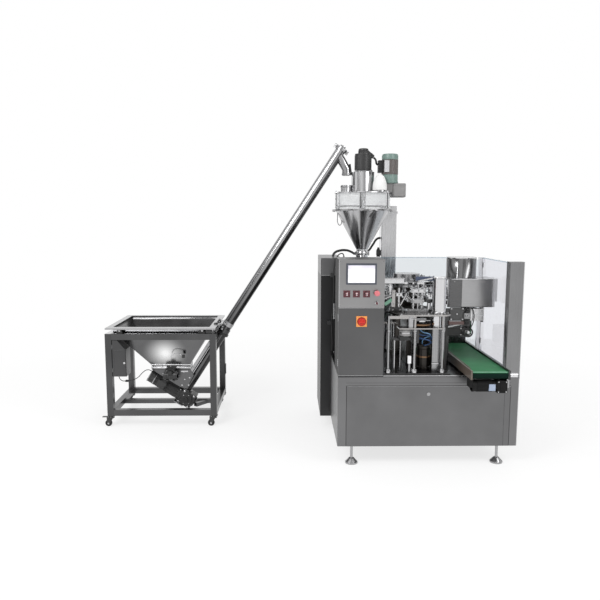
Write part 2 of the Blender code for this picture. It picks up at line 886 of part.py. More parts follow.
def make_feeder_hopper():
    mouth_x = inset((FEEDER_X, FEEDER_RIGHT), HOPPER_FLANGE)
    mouth_y = inset((FEEDER_Y, FEEDER_BACK), HOPPER_FLANGE)
    rim_x = inset((FEEDER_X, FEEDER_RIGHT), HOPPER_INSET)
    rim_y = inset((FEEDER_Y, FEEDER_BACK), HOPPER_INSET)
    outlet_y = widened(LINE_Y, OUTLET_HALF_Y)
    bm = bmesh.new()
    bmesh.ops.create_cube(bm, size=1.0)
    ends = [face for face in bm.faces if abs(face.normal.z) > 0.99]
    bmesh.ops.delete(bm, geom=ends, context="FACES_ONLY")
    for vert in bm.verts:
        upper = vert.co.z > 0
        wide = mouth_x if upper else OUTLET_X
        deep = mouth_y if upper else outlet_y
        vert.co = (wide[vert.co.x > 0], deep[vert.co.y > 0], HOPPER_SHOULDER if upper else OUTLET_TOP)
    lower = [edge for edge in bm.edges if all(vert.co.z < OUTLET_TOP + GAP for vert in edge.verts)]
    drop = bmesh.ops.extrude_edge_only(bm, edges=lower)["geom"]
    for vert in [item for item in drop if isinstance(item, bmesh.types.BMVert)]:
        vert.co.z = OUTLET_BOTTOM
    upper = [edge for edge in bm.edges if all(vert.co.z > HOPPER_SHOULDER - GAP for vert in edge.verts)]
    rise = bmesh.ops.extrude_edge_only(bm, edges=upper)["geom"]
    for vert in [item for item in rise if isinstance(item, bmesh.types.BMVert)]:
        vert.co.z = HOPPER_TOP
    mouth = [item for item in rise if isinstance(item, bmesh.types.BMEdge)]
    flange = bmesh.ops.extrude_edge_only(bm, edges=mouth)["geom"]
    for vert in [item for item in flange if isinstance(item, bmesh.types.BMVert)]:
        vert.co.x = rim_x[vert.co.x > middle(rim_x)]
        vert.co.y = rim_y[vert.co.y > middle(rim_y)]
    outer = [item for item in flange if isinstance(item, bmesh.types.BMEdge)]
    lip = bmesh.ops.extrude_edge_only(bm, edges=outer)["geom"]
    for vert in [item for item in lip if isinstance(item, bmesh.types.BMVert)]:
        vert.co.z = HOPPER_TOP - HOPPER_LIP
    hopper = add_object("feeder_hopper", mesh_from("feeder_hopper", bm), (0.0, 0.0, 0.0))
    sheet = hopper.modifiers.new("sheet", "SOLIDIFY")
    sheet.thickness = HOPPER_SHEET
    sheet.offset = 0.0
    sheet.use_even_offset = True
    for x in (FEEDER_X + MOUNT_LEFT, FEEDER_RIGHT - MOUNT_RIGHT - MOUNT_SIZE):
        for y in (rim_y[0] + HOPPER_SHEET, rim_y[1] - HOPPER_SHEET - MOUNT_D):
            deep = (y, y + MOUNT_D)
            join(hopper, box("mount", (x, x + MOUNT_SIZE), deep, (FRAME_TOP - RAIL_INSET + GAP, HOPPER_TOP)))
    return finish(hopper, BRUSHED)


def box_outline(inside):
    """The control box's front outline, its upper right corner cut to pass under the hopper."""
    x = inset((LEFT_RAIL[1] + GAP, LEFT_RAIL[1] + GAP + BOX_W), inside)
    z = inset(BOX_Z, inside)
    return [(x[0], z[0]), (x[1], z[0]), (x[1], BOX_SLOPE_LOW), (x[0] + BOX_SLOPE_X, z[1]), (x[0], z[1])]


def make_control_box():
    depth = BOX_Y[1] - BOX_Y[0]
    body = side_outline("feeder_control_box", box_outline(0.0), depth / 2, middle(BOX_Y))
    lid = side_outline("box_lid", box_outline(BOX_BEVEL), BOX_LID_T, BOX_Y[0])
    join(body, lid)
    return finish(body, BRUSHED)


def make_feeder_cable():
    cable = wire("feeder_cable", flowing(FEEDER_CABLE, 3), CABLE_R)
    return finish(cable, RUBBER)


def make_cable_switch():
    centre = FEEDER_CABLE[4]
    body = block("cable_switch", centre, INLINE_SWITCH)
    soften(body, CHEEK_T)
    before = Vector(FEEDER_CABLE[3])
    after = Vector(FEEDER_CABLE[5])
    middle_point = Vector(centre)
    for end in (before, after):
        out = middle_point + (end - middle_point) * 1.2
        cut(body,
            rod("cable_way", middle_point - (end - middle_point) * 0.2, out, CABLE_R + BEARING_GAP * 2,
                SMALL))
    return finish(body, BLACK_PLASTIC)


def make_vibrator():
    front = LINE_Y - OUTLET_HALF_Y - HOPPER_SHEET / 2 - GAP
    y = front - VIBRATOR_OUT
    x = widened(VIBRATOR_X, VIBRATOR_L / 2)
    body = rod("hopper_vibrator", (x[0], y, VIBRATOR_Z), (x[1], y, VIBRATOR_Z), VIBRATOR_R)
    for first in (x[0], x[1] - VIBRATOR_END_L):
        join(body,
             rod("end_cover", (first, y, VIBRATOR_Z), (first + VIBRATOR_END_L, y, VIBRATOR_Z),
                 VIBRATOR_END_R))
    wide = widened(VIBRATOR_X, VIBRATOR_PLATE_W / 2)
    plate_z = (VIBRATOR_Z - VIBRATOR_R / 2, OUTLET_TOP - HOPPER_SHEET * 2)
    join(body,
         box("plate", wide, (front - VIBRATOR_PLATE_T, front), (OUTLET_BOTTOM + HOPPER_SHEET, plate_z[1])))
    join(body, box("plate_leg", inset(wide, VIBRATOR_PLATE_T), (y, front - HOPPER_SHEET),
                   (plate_z[0], OUTLET_BOTTOM + VIBRATOR_PLATE_T)))
    return finish(body, BLACK_PLASTIC)


# Screw tube, its cap, screw and gearmotor


def make_conveyor_tube():
    tube = rod("conveyor_tube", along_tube(TUBE_LOW), along_tube(TUBE_HIGH), TUBE_R, ROUND)
    join(tube,
         rod("low_flange", along_tube(TUBE_LOW), along_tube(TUBE_LOW + TUBE_FLANGE_T), TUBE_FLANGE_R,
             ROUND))
    join(tube, rod("high_flange", along_tube(TUBE_HIGH - TUBE_FLANGE_T), along_tube(TUBE_HIGH),
                   TUBE_R + CLAMP_T, ROUND))
    boot_points = [(OUTLET_X[0], BOOT_TOP), BOOT_FOOT, BOOT_AXIS, BOOT_HEEL, (OUTLET_X[1], BOOT_TOP)]
    join(tube, side_outline("boot", boot_points, BOOT_HALF_Y, LINE_Y))
    bend = Vector((INLET_X, LINE_Y, SPOUT_BEND_Z))
    end = Vector((INLET_X, LINE_Y, SPOUT_END_Z))
    join(tube, wire("spout", (along_tube(SPOUT_TOP), bend, end), SPOUT_R, SPOUT_RESOLUTION))
    cut(tube,
        rod("tube_bore", along_tube(TUBE_LOW - TUBE_R), along_tube(TUBE_HIGH + TUBE_R), TUBE_R - TUBE_WALL,
            ROUND))
    bore_path = (along_tube(SPOUT_TOP), bend, end - UP * TUBE_R)
    cut(tube, wire("spout_bore", bore_path, SPOUT_R - TUBE_WALL, SPOUT_RESOLUTION))
    slope = (BOOT_FOOT[1] - BOOT_TOP) / (BOOT_FOOT[0] - OUTLET_X[0])
    left = OUTLET_X[0] + BOOT_WALL
    foot_x = BOOT_FOOT[0] + TUBE_R / 2
    inside = [
        (left, BOOT_TOP + BOOT_WALL),
        (left, BOOT_TOP + slope * BOOT_WALL + BOOT_SKIN),
        (foot_x, BOOT_TOP + slope * (foot_x - OUTLET_X[0]) + BOOT_SKIN),
        (OUTLET_X[1] - BOOT_WALL, BOOT_HEEL[1]),
        (OUTLET_X[1] - BOOT_WALL, BOOT_TOP + BOOT_WALL),
    ]
    cut(tube, side_outline("boot_inside", inside, BOOT_HALF_Y - TUBE_WALL, LINE_Y))
    return finish(tube, POLISHED)


def make_tube_cap():
    base = TUBE_HIGH + GAP
    cap = rod("tube_cap", along_tube(base), along_tube(base + CAP_T), CAP_R, ROUND)
    join(cap, rod("hub", along_tube(base + CAP_T / 2), along_tube(base + CAP_T + CAP_HUB_T), CAP_HUB_R))
    cut(cap,
        rod("hub_bore", along_tube(base - CAP_T), along_tube(base + CAP_T),
            SCREW_SHAFT_R + BEARING_GAP * 2))
    offset = TUBE_R + CLAMP_T + CAP_LUG_R + BEARING_GAP * 3
    for side in (-offset, offset):
        low = along_tube(base - CAP_LUG_L / 2, side)
        high = along_tube(base + CAP_LUG_L / 2, side)
        join(cap, rod("lug", low, high, CAP_LUG_R, SMALL))
    return finish(cap, BRUSHED)


def flight(name, low, steps, turns, pitch, inner, outer, thickness):
    """A screw flight about the upright axis, from its foot."""
    mesh = bpy.data.meshes.new(name)
    bm = bmesh.new()
    bm.edges.new((bm.verts.new((inner, 0.0, 0.0)), bm.verts.new((outer, 0.0, 0.0))))
    bm.to_mesh(mesh)
    bm.free()
    obj = add_object(name, mesh, low)
    spin = obj.modifiers.new("turn", "SCREW")
    spin.steps = steps
    spin.render_steps = steps
    spin.screw_offset = pitch
    spin.iterations = turns
    spin.use_merge_vertices = False
    spin.merge_threshold = 0.0001
    sheet = obj.modifiers.new("sheet", "SOLIDIFY")
    sheet.thickness = thickness
    sheet.offset = 0.0
    return obj


def make_conveyor_screw():
    low = along_tube(TUBE_LOW + GAP)
    high = along_tube(TUBE_HIGH + GAP + CAP_T - HOPPER_SHEET)
    screw = rod("conveyor_screw", low, high, SCREW_SHAFT_R, SMALL)
    blade = flight("screw_flight", along_tube(SCREW_START), SCREW_STEPS, SCREW_TURNS, SCREW_PITCH,
                   SCREW_SHAFT_R * FLIGHT_ROOT, SCREW_FLIGHT_R, SCREW_FLIGHT_T)
    blade.rotation_euler.y = math.pi / 2 - TUBE_ANGLE
    join(screw, blade)
    return finish(screw, BRUSHED)


def make_feeder_gearmotor():
    low = TUBE_LOW - GAP - GEAR_ALONG / 2
    centre = along_tube(low, GEAR_OFFSET)
    axes = (TUBE_SIDE, Vector((0.0, 1.0, 0.0)), TUBE_AXIS)
    body = block("feeder_gearmotor", centre, (GEAR_ACROSS, GEAR_DEEP, GEAR_ALONG), axes)
    soften(body, MOTOR_FLANGE_T / 2, 2)
    face = GEAR_OFFSET - GEAR_ACROSS / 2
    stops = (face + MOTOR_FLANGE_T, face - MOTOR_FLANGE_T, face - MOTOR_FLANGE_T - MOTOR_L,
             face - MOTOR_FLANGE_T - MOTOR_L - FAN_COVER_L)
    join(body,
         rod("motor_flange", along_tube(low, stops[0]), along_tube(low, stops[1]), MOTOR_FLANGE_R, ROUND))
    join(body, rod("motor", along_tube(low, face), along_tube(low, stops[2] - GAP), MOTOR_R, ROUND))
    cover = rod("fan_cover", along_tube(low, stops[2]), along_tube(low, stops[3]), FAN_COVER_R, ROUND)
    join(body, cover)
    terminal = along_tube(low, stops[1] - MOTOR_BOX_AT)
    terminal.y -= MOTOR_R + MOTOR_BOX[2] / 4
    join(body, block("terminal_box", terminal, (MOTOR_BOX[0], MOTOR_BOX[2], MOTOR_BOX[1]), axes))
    return finish(body, DARK_STEEL)


# Base of the machine, table and feet


def make_base():
    top = TABLE_Z - TABLE_T - GAP
    base = box("base_cabinet", (0.0, BASE_W), (0.0, BASE_D), (BASE_Z, top))
    soften(base, BASE_BEVEL)
    cut(base, box("notch", (-BASE_WALL, NOTCH_X), (NOTCH_Y, BASE_D + BASE_WALL), (0.0, TABLE_Z)))
    join(base, box("strip", (STRIP_X, BASE_W), (0.0, BASE_D), (top - BASE_WALL, TABLE_Z)))
    join(base,
         box("front_post", (FRONT_POST_X, BASE_W - GAP), (GAP, FRONT_POST_D),
             (top - BASE_WALL / 2, FRONT_POST_TOP)))
    join(base, box("mid_post", MID_POST_X, MID_POST_Y, (top, WINDOW_TOP)))
    room_z = (BASE_Z + BASE_WALL, top - BASE_WALL * 1.5)
    room_x = inset((0.0, BASE_W), BASE_WALL)
    cut(base, box("near_room", room_x, (BASE_WALL * 2, NOTCH_Y - BASE_WALL), room_z))
    cut(base,
        box("far_room", (NOTCH_X + BASE_WALL, room_x[1]), (NOTCH_Y - BASE_WALL * 2, BASE_D - BASE_WALL),
            room_z))
    seat = inset(PANEL_X, -PANEL_GAP)
    cut(base, box("seat", seat, (-BASE_WALL, PANEL_T + GAP), (0.0, PANEL_TOP + PANEL_GAP)))
    door_x = inset(PANEL_X, BASE_WALL * 1.5)
    cut(base,
        box("doorway", door_x, (0.0, BASE_WALL * 3),
            (BASE_Z + BASE_WALL * 1.5, PANEL_TOP - BASE_WALL * 1.5)))
    return finish(base, BRUSHED)


def make_table():
    table = box("table_plate", (0.0, STRIP_X - GAP), (0.0, BASE_D), (TABLE_Z - TABLE_T, TABLE_Z))
    cut(table,
        box("table_notch", (-BASE_WALL, NOTCH_X), (NOTCH_Y, BASE_D + BASE_WALL),
            (0.0, TABLE_Z + BASE_WALL)))
    corner_x = (FRONT_POST_X - GAP, BASE_W)
    cut(table, box("table_corner", corner_x, (-BASE_WALL, FRONT_POST_D + GAP), (0.0, TABLE_Z + BASE_WALL)))
    return finish(table, BRUSHED)


def make_front_panel():
    panel = box("front_panel", PANEL_X, (0.0, PANEL_T), (BASE_Z, PANEL_TOP))
    soften(panel, BASE_BEVEL / 2)
    hole = rod("latch_hole", (LATCH_X, -PANEL_T, LATCH_Z), (LATCH_X, PANEL_T * 2, LATCH_Z), LATCH_R * 0.6,
               SMALL)
    cut(panel, hole)
    return finish(panel, BRUSHED)


def make_latch():
    latch = rod("front_panel_latch", (LATCH_X, -LATCH_T, LATCH_Z), (LATCH_X, -GAP, LATCH_Z), LATCH_R)
    stem = rod("stem", (LATCH_X, -LATCH_T / 2, LATCH_Z), (LATCH_X, PANEL_T + LATCH_T, LATCH_Z),
               LATCH_R * 0.5, SMALL)
    wide, deep, high = LATCH_BAR
    cam = box("cam", widened(LATCH_X, wide / 2), (PANEL_T + GAP, PANEL_T + deep),
              widened(LATCH_Z, high / 2))
    join(latch, stem, cam)
    return finish(latch, CHROME)


def make_levelling_foot(name, x, y):
    top = BASE_Z - GAP
    profile = [
        (0.0, top),
        (FOOT_NUT_R, top),
        (FOOT_NUT_R, top - FOOT_NUT_T),
        (FOOT_STEM_R, top - FOOT_NUT_T),
        (FOOT_STEM_R, FOOT_NECK_Z),
        (FOOT_NECK_R, FOOT_NECK_Z),
        (FOOT_R, FOOT_RIM),
        (FOOT_R, 0.0),
        (0.0, 0.0),
    ]
    return finish(turned(name, (x, y, 0.0), profile, MEDIUM), DARK_STEEL)


def make_windows():
    side = box("side_window", (WINDOW_X, WINDOW_X + WINDOW_T), (FRONT_POST_D + PANEL_GAP * 2, HINGE_Y),
               (TABLE_Z + PANEL_GAP, WINDOW_TOP))
    pivot(side, (HINGE_X, HINGE_Y, TABLE_Z))
    for low in (TABLE_Z + PANEL_GAP, middle((TABLE_Z, WINDOW_TOP)), WINDOW_TOP - HINGE_R * 8):
        join(side,
             rod("hinge", (HINGE_X, HINGE_Y, low), (HINGE_X, HINGE_Y, low + HINGE_R * 8), HINGE_R, SMALL))
    finish(side, CLEAR)
    tall = (TABLE_Z + GAP, BACK_WINDOW_TOP)
    back = box("back_window", (WINDOW_LEFT, WINDOW_X + WINDOW_T), (BACK_WINDOW_Y, BACK_WINDOW_Y + WINDOW_T),
               tall)
    wing_y = (MID_POST_Y[1] + PANEL_GAP, BACK_WINDOW_Y + WINDOW_T / 2)
    join(back, box("wing", inset((WINDOW_X, WINDOW_X + WINDOW_T), GAP), wing_y, inset(tall, 0.0)))
    return finish(back, CLEAR)


# Cabinets and their controls


def make_electrical_cabinet():
    body = box("electrical_cabinet", ELECTRIC_X, ELECTRIC_Y, ELECTRIC_Z)
    return finish(soften(body, CABINET_BEVEL, 2), DARK_STEEL)


def make_control_cabinet():
    bottom = TABLE_Z + GAP
    body = box("control_cabinet", (0.0, CONTROL_W), (DOOR_T + GAP, CONTROL_D), (bottom, CONTROL_TOP))
    room_y = (0.0, CONTROL_D - CONTROL_WALL)
    room_x = inset((0.0, CONTROL_W), CONTROL_WALL)
    shelf = (SEAM_Z - CONTROL_WALL / 2, SEAM_Z + CONTROL_WALL / 2)
    cut(body, box("lower_room", room_x, room_y, (bottom + CONTROL_WALL, shelf[0])))
    cut(body, box("upper_room", room_x, room_y, (shelf[1], CONTROL_TOP - CONTROL_WALL)))
    return finish(body, BRUSHED)


def front_disc(name, x, z, radius, y, sides=MEDIUM):
    return rod(name, (x, y[0], z), (x, y[1], z), radius, sides)


def make_control_panel():
    panel = box("control_panel", (0.0, CONTROL_W), (0.0, DOOR_T), (SEAM_Z + SEAM_HALF, CONTROL_TOP))
    soften(panel, BASE_BEVEL / 2)
    pivot(panel, (0.0, DOOR_T, SEAM_Z))
    for x in SELECTOR_X:
        half = SELECTOR_PLATE / 2
        join(panel,
             box("legend", widened(x, half), (-SELECTOR_PLATE_T, DOOR_T / 2), widened(SELECTOR_Z, half)))
    collar = front_disc("stop_collar", STOP_X, STOP_Z, STOP_COLLAR_R, (-STOP_COLLAR_T, DOOR_T / 2))
    join(panel, collar)
    cut(panel,
        front_disc("stop_bore", STOP_X, STOP_Z, STOP_BORE_R, (-STOP_COLLAR_T * 2, -GAP * 4), SMALL))
    join(panel, front_disc("key_collar", KEY_X, KEY_Z, KEY_R, (-KEY_T, DOOR_T / 2)))
    return finish(panel, BRUSHED)


def make_cabinet_door():
    low = TABLE_Z + SEAM_HALF * 2
    door = box("cabinet_door", (0.0, CONTROL_W), (0.0, DOOR_T), (low, SEAM_Z - SEAM_HALF))
    soften(door, BASE_BEVEL / 2)
    pivot(door, (0.0, DOOR_T, low))
    half = MAIN_PLATE / 2
    join(door, box("main_plate", widened(MAIN_X, half), (-MAIN_PLATE_T, DOOR_T / 2), widened(MAIN_Z, half)))
    return finish(door, BRUSHED)


def make_touch_screen():
    screen = box("touch_screen", SCREEN_X, (-SCREEN_T, -GAP), SCREEN_Z)
    soften(screen, SCREEN_SINK / 2)
    glass_x = inset(SCREEN_X, SCREEN_RIM)
    cut(screen, box("glass", glass_x, (-SCREEN_T * 2, SCREEN_SINK - SCREEN_T), inset(SCREEN_Z, SCREEN_RIM)))
    return finish(screen, BLACK_PLASTIC)


def make_knob(name, x, z, y, radius, depth, grip, look):
    """A turning knob that stands out from a front face at y."""
    knob = front_disc(name, x, z, radius, (y - depth, y))
    wide, high, out = grip
    join(knob,
         box("grip", widened(x, wide / 2), (y - depth - out, y - depth + GAP * 3), widened(z, high / 2)))
    return finish(knob, look)


def make_emergency_stop():
    face = -STOP_COLLAR_T - STOP_COLLAR_R / 2
    head = front_disc("emergency_stop", STOP_X, STOP_Z, STOP_HEAD_R, (face - STOP_HEAD_T, face))
    soften(head, STOP_HEAD_T / 3, 2)
    join(head,
         front_disc("stop_stem", STOP_X, STOP_Z, STOP_STEM_R, (face - GAP, -STOP_COLLAR_T * 0.7),
                    SMALL))
    return finish(head, RED)


# Filler on its column


def make_filler_column():
    column = box("filler_column", COLUMN_X, COLUMN_Y, (COLUMN_FOOT_T / 2, COLUMN_TOP))
    soften(column, COLUMN_BEVEL, 2)
    spread = (inset(COLUMN_X, -COLUMN_FOOT), (COLUMN_Y[0] - PANEL_GAP, COLUMN_Y[1] + COLUMN_FOOT))
    join(column, box("foot", *spread, (0.0, COLUMN_FOOT_T)))
    bracket_x = (BRACKET_X, COLUMN_X[1] - COLUMN_BEVEL * 2)
    bracket_y = (BRACKET_Y, middle(COLUMN_Y))
    join(column, box("bracket", bracket_x, bracket_y, (BRACKET_TOP - BRACKET_T, BRACKET_TOP)))
    clear_r = CONE_TOP_R + PANEL_GAP * 3
    cut(column, rod("cone_clearance", (FILL_X, LINE_Y, BRACKET_TOP - BRACKET_T * 2),
                    (FILL_X, LINE_Y, BRACKET_TOP + BRACKET_T), clear_r, FINE))
    return finish(column, BRUSHED)


def make_filler_hopper():
    skin = FILL_SHEET
    flange_low = FLANGE_TOP - FLANGE_T
    taper = NECK_BOTTOM - NECK_FLANGE_T - (NECK_R - NOZZLE_R)
    profile = [
        (FLANGE_R, FLANGE_TOP),
        (FLANGE_R, flange_low),
        (CONE_TOP_R, flange_low),
        (NECK_R, NECK_TOP),
        (NECK_R, NECK_BOTTOM + NECK_FLANGE_T),
        (NECK_FLANGE_R, NECK_BOTTOM + NECK_FLANGE_T),
        (NECK_FLANGE_R, NECK_BOTTOM - NECK_FLANGE_T),
        (NECK_R, NECK_BOTTOM - NECK_FLANGE_T),
        (NOZZLE_R, taper),
        (NOZZLE_R, NOZZLE_END),
        (NOZZLE_R - skin, NOZZLE_END),
        (NOZZLE_R - skin, taper + skin),
        (NOZZLE_R - skin, NECK_TOP - NECK_R),
        (NECK_R - skin, NECK_TOP + skin),
        (CONE_TOP_R - skin, flange_low),
        (CONE_TOP_R - skin, FLANGE_TOP),
    ]
    hopper = turned("filler_hopper", (FILL_X, LINE_Y, 0.0), profile, FINE, True)
    return finish(hopper, POLISHED)


def make_hopper_window():
    inner = RING_R - RING_T
    low = FLANGE_TOP + GAP
    profile = [(RING_R, RING_TOP), (RING_R, low), (inner, low), (inner, RING_TOP)]
    return finish(turned("hopper_window", (FILL_X, LINE_Y, 0.0), profile, FINE, True), CLEAR)


def make_hopper_lid():
    low = RING_TOP + GAP
    top = low + LID_T
    profile = [
        (0.0, HOUSING_TOP),
        (HOUSING_R, HOUSING_TOP),
        (HOUSING_R, top),
        (LID_R, top),
        (LID_R, low),
        (0.0, low),
    ]
    lid = turned("hopper_lid", (FILL_X, LINE_Y, 0.0), profile, FINE)
    inlet = rod("inlet", (INLET_X, LINE_Y, low + GAP), (INLET_X, LINE_Y, INLET_TOP), INLET_R, ROUND)
    spigot_base = (SPIGOT_X, SPIGOT_Y, low + GAP)
    spigot = rod("spigot", spigot_base, (SPIGOT_X, SPIGOT_Y, top + SPIGOT_H), SPIGOT_R, ROUND)
    join(lid, inlet, spigot)
    under = low - LID_T
    room_top = HOUSING_TOP - HOUSING_WALL
    cut(lid,
        rod("room", (FILL_X, LINE_Y, under), (FILL_X, LINE_Y, room_top), HOUSING_R - HOUSING_WALL, ROUND))
    cut(lid,
        rod("shaft_hole", (FILL_X, LINE_Y, under), (FILL_X, LINE_Y, HOUSING_TOP + LID_T), SHAFT_HOLE_R,
            SMALL))
    inlet_bore = INLET_R - FILL_SHEET
    cut(lid,
        rod("inlet_bore", (INLET_X, LINE_Y, under), (INLET_X, LINE_Y, INLET_TOP + LID_T), inlet_bore,
            ROUND))
    spigot_bore = SPIGOT_R - FILL_SHEET * 2
    cut(lid,
        rod("spigot_bore", (SPIGOT_X, SPIGOT_Y, under), (SPIGOT_X, SPIGOT_Y, top + SPIGOT_H * 2),
            spigot_bore))
    return finish(lid, BRUSHED)


def make_servo_motor():
    low = HOUSING_TOP + GAP
    half = SERVO_FLANGE / 2
    motor = rod("servo_motor", (FILL_X, LINE_Y, low + GAP), (FILL_X, LINE_Y, SERVO_TOP), SERVO_R, ROUND)
    flange_z = (low, low + SERVO_FLANGE_T)
    join(motor, box("servo_flange", widened(FILL_X, half), widened(LINE_Y, half), flange_z))
    hood_x = FILL_X + SERVO_HOOD_X
    hood = rod("servo_hood", (hood_x, LINE_Y, SERVO_TOP - GAP * 4), (hood_x, LINE_Y, SERVO_HOOD_TOP),
               SERVO_HOOD_R)
    soften(hood, SERVO_FLANGE_T, 2)
    start = (FILL_X + PLUG_START[0], LINE_Y, PLUG_START[1])
    end = (FILL_X + PLUG_END[0], LINE_Y, PLUG_END[1])
    join(motor, hood, rod("plug", start, end, PLUG_R, SMALL))
    return finish(motor, BLACK_PLASTIC)


def make_agitator_gearmotor():
    y = widened(LINE_Y, GEARBOX_HALF_Y)
    body = box("agitator_gearmotor", GEARBOX_X, y, GEARBOX_Z)
    soften(body, SERVO_FLANGE_T / 2)
    lid_top = RING_TOP + GAP * 2 + LID_T
    foot_y = inset(y, PANEL_GAP * 3)
    join(body, box("gear_foot", (GEARBOX_FOOT_X, middle(GEARBOX_X)), foot_y, (lid_top, GEARBOX_FOOT_TOP)))
    low = (GEARMOTOR_X, LINE_Y, GEARMOTOR_BOTTOM - PANEL_GAP)
    motor = rod("gear_motor", low, (GEARMOTOR_X, LINE_Y, GEARMOTOR_TOP), GEARMOTOR_R, ROUND)
    soften(motor, SERVO_FLANGE_T, 2)
    join(body, motor)
    join(body, box("terminal", TERMINAL_X, widened(LINE_Y, TERMINAL_HALF_Y), TERMINAL_Z))
    return finish(body, GREEN_PAINT)


def make_breather_sock():
    low = RING_TOP + LID_T + GAP * 2
    outer = []
    inner = []
    for step in range(SOCK_STEPS + 1):
        t = step / SOCK_STEPS
        height = SOCK_TOP + (low - SOCK_TOP) * t
        radius = SOCK_R * math.sin(math.pi / 2 * min(1.0, 0.12 + t) ** 0.62)
        outer.append((radius, height))
        inner.append((max(radius - SOCK_SKIN, 0.0), height - (SOCK_SKIN if step < SOCK_STEPS else 0.0)))
    profile = [(0.0, SOCK_TOP), *outer, *reversed(inner), (0.0, SOCK_TOP - SOCK_SKIN)]
    sock = turned("breather_sock", (SPIGOT_X, SPIGOT_Y, 0.0), profile, MEDIUM)
    return finish(sock, WHITE_CLOTH)


def make_dosing_screw():
    low = (FILL_X, LINE_Y, DOSING_START)
    screw = rod("dosing_screw", low, (FILL_X, LINE_Y, HOUSING_TOP), DOSING_SHAFT_R, SMALL)
    blade = flight("dosing_flight", (FILL_X, LINE_Y, DOSING_START + SCREW_FLIGHT_T), SCREW_STEPS,
                   DOSING_TURNS,
                   DOSING_PITCH, DOSING_SHAFT_R * 0.7, DOSING_FLIGHT_R, SCREW_FLIGHT_T)
    join(screw, blade)
    return finish(screw, BRUSHED)


def make_agitator():
    top = HOUSING_TOP - HOUSING_WALL - GAP
    profile = [
        (AGITATOR_HUB_R, top),
        (AGITATOR_HUB_R, AGITATOR_BOTTOM),
        (AGITATOR_HUB_BORE, AGITATOR_BOTTOM),
        (AGITATOR_HUB_BORE, top),
    ]
    hub = turned("agitator", (FILL_X, LINE_Y, 0.0), profile, MEDIUM, True)
    start = AGITATOR_HUB_R - AGITATOR_ARM_R / 3
    for side in (-1, 1):
        upper = Vector((FILL_X + side * AGITATOR_REACH, LINE_Y, AGITATOR_ARM_Z))
        lower = Vector((FILL_X + side * AGITATOR_LOW_REACH, LINE_Y, AGITATOR_LOW_Z))
        join(hub,
             rod("upper_arm", (FILL_X + side * start, LINE_Y, AGITATOR_ARM_Z), upper, AGITATOR_ARM_R,
                 SMALL))
        join(hub,
             rod("lower_arm", (FILL_X + side * start, LINE_Y, AGITATOR_LOW_Z), lower, AGITATOR_ARM_R,
                 SMALL))
        ahead = (upper - lower).normalized()
        across = FRONT.cross(ahead)
        size = ((upper - lower).length + AGITATOR_ARM_R * 4, SCRAPER_W, SCRAPER_T)
        join(hub, block("scraper", (upper + lower) / 2, size, (ahead, FRONT, across)))
    return finish(hub, BRUSHED)


# Belt conveyor


def belt_loop(name, x, radius):
    """A loop's solid outline round both rollers: a round bar across the line, its far half drawn back."""
    bm = bmesh.new()
    bmesh.ops.create_cone(bm, cap_ends=True, segments=MEDIUM, radius1=radius, radius2=radius,
                          depth=x[1] - x[0])
    turn = Matrix.Rotation(math.pi / 2, 4, "Y") @ Matrix.Rotation(math.pi / MEDIUM, 4, "Z")
    bmesh.ops.transform(bm, matrix=turn, verts=bm.verts)
    for vert in bm.verts:
        if vert.co.y > 0:
            vert.co.y += ROLLER_BACK_Y - ROLLER_FRONT_Y
    return smooth(add_object(name, mesh_from(name, bm), (middle(x), ROLLER_FRONT_Y, BELT_Z)))


def make_belt():
    belt = belt_loop("belt", BELT_X, BELT_OUT_R)
    cut(belt, belt_loop("belt_inside", inset(BELT_X, -BELT_CLEAR), BELT_OUT_R - BELT_T))
    return finish(belt, BELT_GREEN)


def make_belt_frame():
    left = (BELT_X[0] - BELT_CLEAR - RAIL_T, BELT_X[0] - BELT_CLEAR)
    right = (BELT_X[1] + BELT_CLEAR, BELT_X[1] + BELT_CLEAR + RAIL_T)
    long_y = (LINE_FRONT, BELT_BACK)
    frame = box("belt_frame", left, long_y, BELT_RAIL_Z)
    join(frame, box("right_rail", right, long_y, BELT_RAIL_Z))
    across = (middle(left), middle(right))
    for y in BELT_BAR_Y:
        join(frame, box("bar", across, (y, y + BELT_BAR_D), (TABLE_Z + GAP, BELT_BAR_TOP)))
    join(frame, box("bed", across, BELT_BED_Y, BELT_BED_Z))
    for y in (ROLLER_FRONT_Y, ROLLER_BACK_Y):
        cut(frame,
            rod("bearing", (left[0] - RAIL_T, y, BELT_Z), (right[1] + RAIL_T, y, BELT_Z), ROLLER_HOLE_R,
                SMALL))
    return finish(frame, ALUMINIUM)


def make_roller(name, y, knob):
    roller = rod(name, (BELT_X[0], y, BELT_Z), (BELT_X[1], y, BELT_Z), ROLLER_R - GAP, MEDIUM)
    out = BELT_CLEAR + RAIL_T
    ends = (BELT_X[0] - out, KNOB_END if knob else BELT_X[1] + out)
    join(roller, rod("shaft", (ends[0], y, BELT_Z), (ends[1], y, BELT_Z), ROLLER_SHAFT_R, SMALL))
    if knob:
        near = BELT_X[1] + out + BELT_CLEAR
        join(roller, rod("knob", (near, y, BELT_Z), (KNOB_END, y, BELT_Z), KNOB_R, MEDIUM))
    return finish(roller, CHROME)


